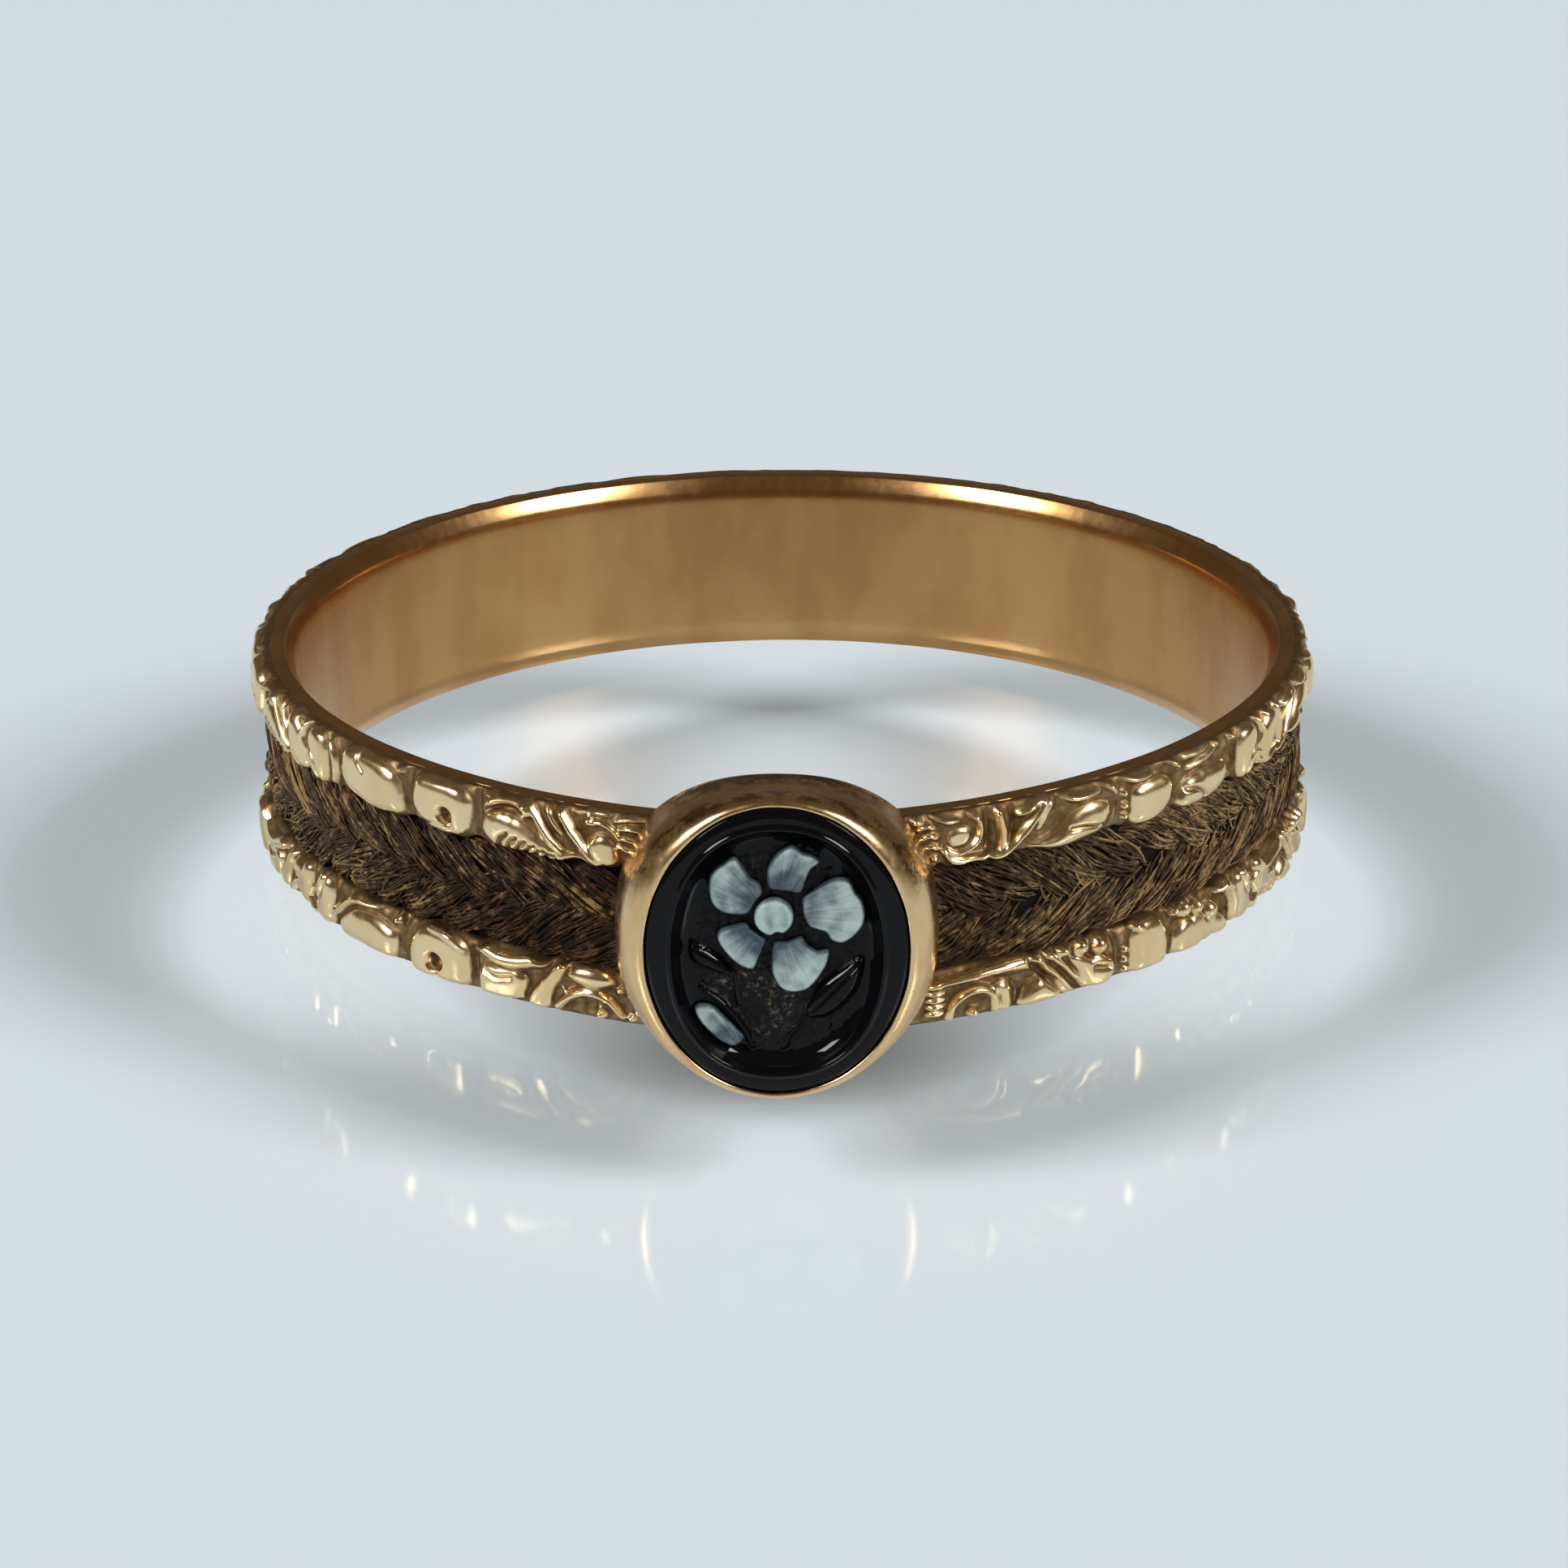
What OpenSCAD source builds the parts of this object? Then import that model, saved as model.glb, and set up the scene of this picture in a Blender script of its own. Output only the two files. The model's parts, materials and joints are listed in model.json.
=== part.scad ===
// Mourning ring. A gold band has a sunk channel of plaited hair between two
// carved borders, and an oval bezel at the front holds a black stone that is
// carved with a pale five-petalled flower. The ring lies on its side, as it
// rests by itself: the finger hole stands nearly upright, and the bezel, which
// is wider than the band, tips the front up by about two degrees.
//
// Each piece is drawn in the ring's own frame first: the finger hole along Z,
// the bezel towards -Y, the middle of the band's width at Z = 0.

/* [Finger hole] */
// Radius of the finger hole
bore_r = 8.7; // [8.2:0.05:9.8]
// Rounding at both ends of the finger hole
bore_round = 0.32; // [0.2:0.01:0.4]

/* [Band] */
// Width of the band, measured along the finger
band_w = 3.57; // [3.4:0.01:4]
// Thickness of the plain sleeve under the hair
sleeve_t = 0.32; // [0.28:0.01:0.4]
// Thickness of the borders, without their carving
border_t = 0.66; // [0.6:0.01:0.7]
// Width of each border
border_w = 0.86; // [0.8:0.01:0.95]
// Bevel at the outer edge of each border
border_bevel = 0.06; // [0.03:0.01:0.08]
// Height of the carving above the border
carving_h = 0.14; // [0.1:0.01:0.16]

/* [Hair] */
// Gap between the hair and the metal around it
hair_gap = 0.02; // [0.01:0.01:0.04]
// Depth of the hair below the tops of the carving
hair_sunk = 0.24; // [0.22:0.01:0.28]
// Height of the crown along the middle of the hair
hair_crown = 0.05; // [0:0.01:0.08]

/* [Bezel] */
// Width of the bezel where it meets the band
bezel_w = 5.02; // [4.9:0.01:5.2]
// Height of the bezel where it meets the band
bezel_h = 4.98; // [4.8:0.01:5.05]
// Width over the lip
lip_w = 4.36; // [4.34:0.01:4.5]
// Height over the lip
lip_h = 5.12; // [5.1:0.01:5.2]
// Distance of the lip's top from the middle of the finger hole, less its radius
lip_rise = 1.9; // [1.85:0.01:2]
// Sideways offset of the bezel from the middle of the front
bezel_shift = -0.1; // [-0.15:0.01:0.15]
// Upward offset of the bezel from the middle of the band
bezel_lift = 0.02; // [0:0.01:0.04]

/* [Stone] */
// Width of the stone that shows inside the lip
stone_w = 4.12; // [4.06:0.01:4.14]
// Height of the stone that shows inside the lip
stone_h = 4.88; // [4.8:0.01:4.9]
// Thickness of the stone from its back to the top of its rim
stone_t = 0.86; // [0.8:0.01:0.9]
// Gap between the stone and its setting
stone_gap = 0.02; // [0.01:0.01:0.03]
// Width of the polished rim around the carved ground
rim_w = 0.38; // [0.3:0.01:0.42]
// Depth of the carved ground below the rim
ground_depth = 0.3; // [0.26:0.01:0.34]

/* [Flower] */
// Height of the petals above the carved ground
petal_t = 0.17; // [0.12:0.01:0.2]
// Radius of the flower's eye
eye_r = 0.31; // [0.26:0.01:0.32]
// Distance from the middle of the eye to the inner ends of the petals
petal_start = 0.42; // [0.42:0.01:0.46]

/* [Hidden] */

gold = [0.83, 0.66, 0.4];
hair_brown = [0.22, 0.17, 0.13];
onyx_black = [0.05, 0.055, 0.065];
layer_blue = [0.62, 0.7, 0.71];

// Band: radii and half widths
half_w = band_w / 2;
channel_r = bore_r + sleeve_t;
ground_r = bore_r + border_t;
outer_r = ground_r + carving_h;
channel_half = half_w - border_w;
round_steps = 5;

// Carving: one closed strip for each border, with a station every quarter of a
// millimetre or so and a row for each of these places across the border
strip_root = 0.08;
strip_margin = 0.07;
strip_rows = [-1, -0.55, 0, 0.55, 1];
row_count = len(strip_rows);
strip_mid = half_w - border_w / 2;
strip_half = border_w / 2 - strip_margin;
strip_start = 2;
strip_end = 2 * PI * outer_r - strip_start;
station_count = 264;
carving_low = 0.03;
scallop_depth = 0.06;

// One run of carving, in millimetres along the border from its start:
// start, end, form (1 boss, 2 leaf, 3 scroll), lean (1 higher towards the
// hair, -1 higher towards the edge, 0 even)
run = [
    [0.15, 0.60, 3, 0],
    [0.60, 1.55, 3, -1],
    [1.50, 2.25, 3, 1],
    [2.15, 3.45, 2, 1],
    [3.60, 4.80, 1, 0],
    [5.05, 6.70, 2, -1],
];
run_length = 6.9;
RUN_FROM = 0;
RUN_TO = 1;
RUN_FORM = 2;
RUN_LEAN = 3;

// Bezel: distances from the middle of the finger hole
lip_y = bore_r + lip_rise;
bezel_back_r = bore_r + 0.2;
bezel_inner_y = bore_r - 0.6;
bezel_foot_y = bore_r + 0.55;
bezel_square = 2.25;
oval_sides = 64;

// Each ring of the bezel: distance, half width, half height, squareness
bezel_rings = [
    [bezel_inner_y, bezel_w / 2, bezel_h / 2, bezel_square],
    [bezel_foot_y, bezel_w / 2, bezel_h / 2, bezel_square],
    [lip_y - 0.55, bezel_w / 2 - 0.13, bezel_h / 2 + 0.03, 2.15],
    [lip_y - 0.15, lip_w / 2 + 0.04, lip_h / 2, 2.05],
    [lip_y - 0.04, lip_w / 2, lip_h / 2 - 0.01, 2],
    [lip_y, lip_w / 2 - 0.05, lip_h / 2 - 0.06, 2],
];

// Stone: the lip leans over its bevelled edge
stone_back_y = lip_y + 0.05 - stone_t;
girdle_y = lip_y - 0.24;
girdle_out = 0.05;
pocket_rings = [
    [stone_back_y - stone_gap, stone_w / 2 + girdle_out, stone_h / 2 + girdle_out, 2],
    [girdle_y + stone_gap, stone_w / 2 + girdle_out, stone_h / 2 + girdle_out, 2],
    [lip_y - 0.02, stone_w / 2, stone_h / 2, 2],
    [lip_y + 0.5, stone_w / 2, stone_h / 2, 2],
];
rim_y = stone_back_y + stone_t;
floor_y = rim_y - ground_depth;
seat_w = stone_w / 2 - stone_gap;
seat_h = stone_h / 2 - stone_gap;
stone_rings = [
    [stone_back_y, seat_w + girdle_out, seat_h + girdle_out, 2],
    [girdle_y, seat_w + girdle_out, seat_h + girdle_out, 2],
    [lip_y - 0.02, seat_w, seat_h, 2],
    [rim_y - 0.03, seat_w - 0.06, seat_h - 0.06, 2],
    [rim_y, seat_w - 0.15, seat_h - 0.15, 2],
];
recess_rings = [
    [floor_y, seat_w - rim_w - 0.12, seat_h - rim_w - 0.12, 2.2],
    [floor_y + 0.08, seat_w - rim_w - 0.04, seat_h - rim_w - 0.04, 2.2],
    [rim_y - 0.05, seat_w - rim_w, seat_h - rim_w, 2.2],
    [rim_y + 0.05, seat_w - rim_w + 0.1, seat_h - rim_w + 0.1, 2.2],
];

// Flower, seen from the front, measured from the middle of the stone
eye_at = [-0.04, 0.62];
petal_gap = 0.02;
petal_steps = 10;
// Each petal: first angle, last angle, reach from the middle of the eye
petals = [
    [118, 174, 1.15],
    [52, 98, 1.12],
    [-23, 31, 1.38],
    [-92, -40, 1.33],
    [196, 250, 1.01],
];
PETAL_FIRST = 0;
PETAL_LAST = 1;
PETAL_REACH = 2;

// Leaves, seen from the front: middle across and up, length, width, turn
side_leaf_form = [-0.93, -1.25, 0.98, 0.34, -47];
black_leaves = [
    [0.98, -0.64, 1.2, 0.36, 44],
    [-1.02, -0.2, 1.05, 0.3, -40],
];

// Rest: the bezel's lowest ring and the back of the band's lower edge touch
// the surface
touch_r = ground_r - border_bevel;
rest_slopes = [for (r = bezel_rings) (r[2] - bezel_lift - half_w) / (r[0] + touch_r)];
rest_tilt = atan(max(rest_slopes));
rest_height = touch_r * sin(rest_tilt) + half_w * cos(rest_tilt);
front_reach = max([for (r = stone_rings) r[0] * cos(rest_tilt) + (r[2] - bezel_lift) * sin(rest_tilt)]);
back_reach = outer_r * cos(rest_tilt) + strip_mid * sin(rest_tilt);

// Puts a piece into the pose in which the ring lies, over the origin
module rest() {
    translate([0, (front_reach - back_reach) / 2, rest_height])
        rotate([-rest_tilt, 0, 0])
            children();
}

// One ring of an oval, a superellipse that faces -Y
function signed_pow(v, p) = sign(v) * pow(abs(v), p);
function oval(ring) = [
    for (i = [0 : oval_sides - 1])
        let (a = 360 * i / oval_sides)
            [bezel_shift + ring[1] * signed_pow(cos(a), 2 / ring[3]),
             -ring[0],
             bezel_lift + ring[2] * signed_pow(sin(a), 2 / ring[3])]
];

// A closed body through a list of oval rings, from back to front
module oval_body(rings) {
    count = len(rings);
    last = (count - 1) * oval_sides;
    points = [for (r = rings) each oval(r)];
    sides = [
        for (k = [0 : count - 2], i = [0 : oval_sides - 1])
            let (a = k * oval_sides + i, b = k * oval_sides + (i + 1) % oval_sides)
                each [[a, b + oval_sides, b], [a, a + oval_sides, b + oval_sides]]
    ];
    back = [for (i = [0 : oval_sides - 1]) i];
    front = [for (i = [oval_sides - 1 : -1 : 0]) last + i];
    polyhedron(points, concat(sides, [back, front]));
}

// Half of the band's section, from the finger hole out and back along the top
function bore_corner(side) = [
    for (k = [0 : round_steps])
        let (a = 90 * k / round_steps)
            [bore_r + bore_round * (1 - cos(a)), side * (half_w - bore_round * (1 - sin(a)))]
];
function reversed(list) = [for (i = [len(list) - 1 : -1 : 0]) list[i]];
function band_half(side) = concat(bore_corner(side), [
    [touch_r, side * half_w],
    [ground_r, side * (half_w - border_bevel)],
    [ground_r, side * channel_half],
    [channel_r, side * channel_half],
]);

module sleeve() {
    rotate_extrude($fn = 180)
        polygon(concat(band_half(1), reversed(band_half(-1))));
}

// Carving: height from 0 to 1 at a place along a run, d, and across it, u
function dome(t) = abs(t) < 1 ? sqrt(1 - t * t) : 0;
function boss(t, u) = dome(t) * dome(0.8 * u);
function leaf(t, u, lean) = dome(t) * (0.62 + 0.38 * cos(140 * (u - lean * t)));
function scroll(t, u, lean) = dome(t) * (0.6 + 0.4 * cos(360 * (t - 0.6 * lean * u)));
function form_height(m, d, u) =
    let (t = 2 * (d - m[RUN_FROM]) / (m[RUN_TO] - m[RUN_FROM]) - 1)
        abs(t) >= 1 ? 0
        : m[RUN_FORM] == 1 ? boss(t, u)
        : m[RUN_FORM] == 2 ? leaf(t, u, m[RUN_LEAN])
        : scroll(t, u, m[RUN_LEAN]);
function run_height(d, u) = max([for (m = run) form_height(m, d, u)]);

// The runs start at the bezel on both sides and meet at the back
function along_run(s) =
    let (from_front = min(s, strip_end + strip_start - s) - strip_start)
        from_front % run_length;
function strip_point(s, u) =
    let (d = along_run(s),
         h = carving_low + (carving_h - carving_low) * run_height(d, u),
         a = 360 * s / (2 * PI * outer_r) - 90,
         edge = u < -0.9 ? scallop_depth * run_height(d, 0) : 0,
         r = ground_r + h * (abs(u) > 0.9 ? 0.6 : 1))
        [r * cos(a), r * sin(a), strip_mid + u * strip_half - edge];
function root_point(s, u) =
    let (a = 360 * s / (2 * PI * outer_r) - 90, r = ground_r - strip_root)
        [r * cos(a), r * sin(a), strip_mid + u * strip_half];

// The carved strip on the upper border, cut off inside the bezel at both ends
module carved_strip() {
    ring = row_count + 2;
    last = station_count * ring;
    points = [
        for (k = [0 : station_count])
            let (s = strip_start + (strip_end - strip_start) * k / station_count)
                each concat([root_point(s, -1)], [for (u = strip_rows) strip_point(s, u)],
                    [root_point(s, 1)])
    ];
    sides = [
        for (k = [0 : station_count - 1], i = [0 : ring - 1])
            let (a = k * ring + i, b = k * ring + (i + 1) % ring)
                each [[a, b + ring, a + ring], [a, b, b + ring]]
    ];
    near = [for (i = [ring - 1 : -1 : 0]) i];
    far = [for (i = [0 : ring - 1]) last + i];
    polyhedron(points, concat(sides, [near, far]));
}

module band() {
    color(gold) rest() difference() {
        union() {
            sleeve();
            carved_strip();
            mirror([0, 0, 1]) carved_strip();
            difference() {
                oval_body(bezel_rings);
                cylinder(r = bezel_back_r, h = 4 * band_w, center = true, $fn = 180);
            }
        }
        oval_body(pocket_rings);
    }
}

// Hair: a flat plait with a low crown, cut to the bezel's sides
module hair_braid() {
    inner = channel_r + hair_gap;
    edge = outer_r - hair_sunk - hair_crown;
    half = channel_half - hair_gap;
    around_bezel = [for (r = bezel_rings) [r[0], r[1] + hair_gap, r[2] + hair_gap, r[3]]];
    color(hair_brown) rest() difference() {
        rotate_extrude($fn = 180)
            polygon([[inner, -half], [edge, -half], [edge + hair_crown, -half / 2],
                [edge + hair_crown, half / 2], [edge, half], [inner, half]]);
        oval_body(around_bezel);
    }
}

// A leaf with two pointed ends, as a plate that stands on the carved ground
module leaf_plate(form, base, thick) {
    half = form[2] / 2;
    bow = form[3] / 2;
    radius = (half * half + bow * bow) / (2 * bow);
    translate([form[0] + bezel_shift, -base, form[1] + bezel_lift])
        rotate([90, 0, 0])
            rotate([0, 0, form[4]])
                linear_extrude(height = thick)
                    intersection() {
                        translate([0, radius - bow]) circle(r = radius, $fn = 96);
                        translate([0, bow - radius]) circle(r = radius, $fn = 96);
                    }
}

module stone() {
    color(onyx_black) rest() union() {
        difference() {
            oval_body(stone_rings);
            oval_body(recess_rings);
        }
        for (form = black_leaves)
            leaf_plate(form, floor_y - 0.05, 0.05 + 0.7 * petal_t);
    }
}

// The outline of a petal: two straight sides and a scalloped outer end
function petal_point(p, t) =
    let (mid = (p[PETAL_FIRST] + p[PETAL_LAST]) / 2,
         half = (p[PETAL_LAST] - p[PETAL_FIRST]) / 2,
         a = mid + half * t,
         reach = p[PETAL_REACH] * (1 - 0.16 * pow(abs(t), 4) - 0.04 * (1 + cos(360 * t)) / 2))
        [reach * cos(a), reach * sin(a)];
function petal_outline(p) = concat(
    [for (k = [-petal_steps : petal_steps]) petal_point(p, k / petal_steps)],
    [for (k = [4 : -1 : -4])
        let (a = (p[PETAL_FIRST] + p[PETAL_LAST]) / 2 + k * (p[PETAL_LAST] - p[PETAL_FIRST]) / 10)
            petal_start * [cos(a), sin(a)]]
);

module petal(index) {
    color(layer_blue) rest()
        translate([eye_at[0] + bezel_shift, -floor_y - petal_gap, eye_at[1] + bezel_lift])
            rotate([90, 0, 0])
                linear_extrude(height = petal_t)
                    polygon(petal_outline(petals[index - 1]));
}

module flower_eye() {
    color(layer_blue) rest()
        translate([eye_at[0] + bezel_shift, -floor_y - petal_gap, eye_at[1] + bezel_lift])
            rotate([90, 0, 0])
                cylinder(r1 = eye_r, r2 = eye_r * 0.8, h = petal_t, $fn = 48);
}

module side_leaf() {
    color(layer_blue) rest() leaf_plate(side_leaf_form, floor_y + petal_gap, petal_t);
}

band();
hair_braid();
stone();
petal(1);  // petal_1
petal(2);  // petal_2
petal(3);  // petal_3
petal(4);  // petal_4
petal(5);  // petal_5
flower_eye();
side_leaf();
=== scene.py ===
"""Looks of a gold mourning ring, with plaited hair between two carved borders and a black carved stone.

Every piece is worked out in the ring's own frame, in millimetres: the finger hole along Z, the bezel
towards -Y and the middle of the band's width at Z = 0. RestPose then lays it down as the frame has it.
"""

from __future__ import annotations

import json
import logging
import math
from dataclasses import dataclass
from enum import Enum
from itertools import product
from typing import Any, Protocol, Sequence

import bpy
import numpy as np
from mathutils import Matrix, Vector


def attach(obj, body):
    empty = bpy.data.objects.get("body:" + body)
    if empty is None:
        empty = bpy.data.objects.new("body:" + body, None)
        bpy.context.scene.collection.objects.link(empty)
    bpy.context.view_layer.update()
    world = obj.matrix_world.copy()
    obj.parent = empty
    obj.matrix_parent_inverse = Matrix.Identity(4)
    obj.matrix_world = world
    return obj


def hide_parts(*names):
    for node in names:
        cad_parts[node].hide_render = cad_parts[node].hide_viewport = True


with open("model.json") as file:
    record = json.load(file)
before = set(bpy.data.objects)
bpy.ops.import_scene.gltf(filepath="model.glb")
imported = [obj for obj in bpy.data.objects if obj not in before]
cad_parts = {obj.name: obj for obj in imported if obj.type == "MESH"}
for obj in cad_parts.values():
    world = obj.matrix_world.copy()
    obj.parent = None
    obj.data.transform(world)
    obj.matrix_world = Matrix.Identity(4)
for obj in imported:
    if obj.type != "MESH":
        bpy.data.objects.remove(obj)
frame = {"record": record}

LOG = logging.getLogger("mourning_ring")
MM = 0.001
BODY = "root"
Colour = tuple[float, float, float, float]
Path = Sequence[tuple[float, float]]


class Slot(Enum):
    """The record's material slots."""

    GOLD = "gold"
    HAIR = "hair"
    ONYX = "onyx"
    PALE_LAYER = "pale_layer"


class Edge(Enum):
    """The two edges of the band, which the carved borders and the halves of the plait run along."""

    UPPER = 1
    LOWER = -1


class Side(Enum):
    """The two ways round the ring from the bezel, as the front view shows them."""

    LEFT = -1
    RIGHT = 1


# Node trees


@dataclass(frozen=True)
class Signal:
    """One output of a node, which takes part in arithmetic as a number does."""

    graph: "Graph"
    socket: bpy.types.NodeSocket

    def out(self, key: int | str) -> "Signal":
        """Another output of the same node."""
        return Signal(self.graph, self.socket.node.outputs[key])

    def math(self, operation: str, first: Any, second: Any = 0.0) -> "Signal":
        """A Math node on two values."""
        return self.graph.add("ShaderNodeMath", {"operation": operation}, {0: first, 1: second})

    def __add__(self, other: Any) -> "Signal":
        """Sum."""
        return self.math("ADD", self, other)

    def __radd__(self, other: Any) -> "Signal":
        """Sum with a number on the left."""
        return self.math("ADD", other, self)

    def __sub__(self, other: Any) -> "Signal":
        """Difference."""
        return self.math("SUBTRACT", self, other)

    def __rsub__(self, other: Any) -> "Signal":
        """Difference from a number."""
        return self.math("SUBTRACT", other, self)

    def __mul__(self, other: Any) -> "Signal":
        """Product."""
        return self.math("MULTIPLY", self, other)

    def __rmul__(self, other: Any) -> "Signal":
        """Product with a number on the left."""
        return self.math("MULTIPLY", other, self)

    def __truediv__(self, other: Any) -> "Signal":
        """Quotient."""
        return self.math("DIVIDE", self, other)

    def __pow__(self, other: Any) -> "Signal":
        """Power."""
        return self.math("POWER", self, other)

    def sine(self) -> "Signal":
        """Sine of an angle in radians."""
        return self.math("SINE", self)

    def cosine(self) -> "Signal":
        """Cosine of an angle in radians."""
        return self.math("COSINE", self)

    def floor(self) -> "Signal":
        """Largest whole number that isn't above the value."""
        return self.math("FLOOR", self)

    def root(self) -> "Signal":
        """Square root."""
        return self.math("SQRT", self)

    def between(self, low: float, high: float) -> "Signal":
        """A soft step from 0 at low to 1 at high."""
        settings = {"interpolation_type": "SMOOTHSTEP"}
        return self.graph.add("ShaderNodeMapRange", settings, {0: self, 1: low, 2: high})


class Graph:
    """A shader or geometry node tree that is built by script."""

    def __init__(self, tree: bpy.types.NodeTree) -> None:
        """Empties the tree and keeps it."""
        self.tree = tree
        tree.nodes.clear()

    def feed(self, socket: bpy.types.NodeSocket, value: Any) -> None:
        """Links a signal to a socket, or sets the socket's own value.

        Args:
            socket: The input socket.
            value: A signal of the same tree, or a plain value.
        """
        if isinstance(value, Signal):
            self.tree.links.new(value.socket, socket)
        else:
            socket.default_value = value

    def add(self, kind: str, settings: dict[str, Any] | None = None,
            sockets: dict[int | str, Any] | None = None, output: int | str = 0) -> Signal:
        """Adds one node.

        Args:
            kind: The node's type name.
            settings: The node's own properties.
            sockets: Values or signals of its input sockets, by name or number.
            output: The output that the returned signal stands for.

        Returns:
            The chosen output as a signal.
        """
        node = self.tree.nodes.new(kind)
        for name, value in (settings or {}).items():
            setattr(node, name, value)
        for key, value in (sockets or {}).items():
            self.feed(node.inputs[key], value)
        return Signal(self, node.outputs[output]) if node.outputs else Signal(self, node.inputs[0])

    def vector(self, x: Any, y: Any, z: Any) -> Signal:
        """A vector of three values."""
        return self.add("ShaderNodeCombineXYZ", None, {0: x, 1: y, 2: z})


class Shader(Graph):
    """A material's node tree with one Principled surface."""

    def __init__(self, name: str) -> None:
        """Makes the material and its surface.

        Args:
            name: The material's name.
        """
        self.material = bpy.data.materials.new(name)
        self.material.use_nodes = True
        super().__init__(self.material.node_tree)
        surface = self.add("ShaderNodeBsdfPrincipled")
        self.surface = surface.socket.node
        self.add("ShaderNodeOutputMaterial", None, {"Surface": surface})

    def place(self, upright: float = 1.0) -> Signal:
        """Object coordinates in millimetres.

        Args:
            upright: A share that heights are scaled by, which draws a pattern tall below 1.

        Returns:
            The coordinates as a vector.
        """
        where = self.add("ShaderNodeTexCoord", output="Object")
        scale = (1 / MM, 1 / MM, upright / MM)
        return self.add("ShaderNodeVectorMath", {"operation": "MULTIPLY"}, {0: where, 1: scale})

    def noise(self, per_mm: float, detail: float = 2.0, rough: float = 0.5, upright: float = 1.0) -> Signal:
        """Soft noise with about that many bumps in a millimetre."""
        sockets = {"Vector": self.place(upright), "Scale": per_mm, "Detail": detail, "Roughness": rough}
        return self.add("ShaderNodeTexNoise", {"noise_dimensions": "3D"}, sockets)

    def attribute(self, name: str) -> Signal:
        """A number that the mesh carries for each of its points."""
        return self.add("ShaderNodeAttribute", {"attribute_name": name}, output="Fac")

    def blend(self, first: Any, second: Any, share: Any) -> Signal:
        """A colour between two, by a share from 0 at the first to 1 at the second."""
        settings = {"data_type": "RGBA", "clamp_factor": True}
        return self.add("ShaderNodeMix", settings, {0: share, 6: first, 7: second}, output=2)

    def bump(self, height: Signal, depth_mm: float) -> Signal:
        """A Bump node whose height of 1 stands for a depth in millimetres."""
        sockets = {"Height": height, "Distance": depth_mm * MM, "Strength": 1.0}
        return self.add("ShaderNodeBump", None, sockets)

    def finish(self, **sockets: Any) -> bpy.types.Material:
        """Feeds the surface's sockets.

        Args:
            sockets: Their values or signals, by name, with spaces written as underscores.

        Returns:
            The finished material.
        """
        for name, value in sockets.items():
            self.feed(self.surface.inputs[name.replace("_", " ")], value)
        return self.material


# Finishes


class Finish(Protocol):
    """Anything that can make a material."""

    name: str

    def material(self) -> bpy.types.Material:
        """The finish as a Blender material."""


@dataclass(frozen=True)
class GoldFinish:
    """Old gold: bright where fingers rub it, browner and duller in the hollows.

    polish and dull are the lowest and the highest roughness, and pit_depth is in millimetres. rubbed and the
    pit-and-shade strength say how strongly the mesh's own rubbed and pit-and-shade values act, and carved
    lets its dirt-and-shade mask act. The brown that these two masks bring is partly dirt and partly painted
    shade.
    """

    name: str
    bright: Colour
    worn: Colour
    grime_and_shade_colour: Colour
    polish: float
    dull: float
    pit_depth: float
    upright: float = 1.0
    rubbed: float = 0.0
    pit_and_shade_strength: float = 0.0
    carved: bool = False
    hollow_dullness: float = 0.36

    def material(self) -> bpy.types.Material:
        """Draws the finish.

        Returns:
            The finish as a Blender material.
        """
        shader = Shader(self.name)
        cloud = shader.noise(per_mm=0.9, detail=3.0, rough=0.55, upright=self.upright)
        fine = shader.noise(per_mm=5.0, detail=3.0, rough=0.6, upright=self.upright)
        grain = shader.noise(per_mm=24.0, detail=2.0, rough=0.6, upright=self.upright)
        colour = shader.blend(self.bright, self.worn, cloud.between(0.36, 0.68))
        dullness = self.polish + (self.dull - self.polish) * fine.between(0.35, 0.75)
        height = fine * 0.5 + grain * 0.5
        if self.rubbed:
            dullness = dullness * (1.0 - self.rubbed * shader.attribute("rubbed"))
        # In low places of the carving the colour turns browner and the gold duller: partly dirt, partly
        # painted shade.
        if self.carved:
            hollow = shader.attribute("cavity").between(0.08, 0.75) * (0.6 + 0.6 * fine)
            colour = shader.blend(colour, self.grime_and_shade_colour, hollow)
            dullness = dullness + hollow * self.hollow_dullness
        if self.pit_and_shade_strength:
            specks = shader.noise(per_mm=11.0, detail=4.0, rough=0.7).between(0.48, 0.6)
            mottle = shader.noise(per_mm=2.6, detail=5.0, rough=0.7).between(0.45, 0.55)
            pitting_and_shade = shader.attribute("pitting_and_shade")
            # Dirt specks and mottles, plus a flat dark band of painted shade where the mesh's share passes 1.
            dirt_and_shade = (specks * 0.4 + mottle * 0.7) * pitting_and_shade + pitting_and_shade.between(1.02, 1.3) * 0.5
            colour = shader.blend(colour, self.grime_and_shade_colour, dirt_and_shade * self.pit_and_shade_strength)
            dullness = dullness + dirt_and_shade * 0.03
            height = height - dirt_and_shade * 0.3
        normal = shader.bump(height, self.pit_depth)
        return shader.finish(Base_Color=colour, Metallic=1.0, Roughness=dullness, Normal=normal)


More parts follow.
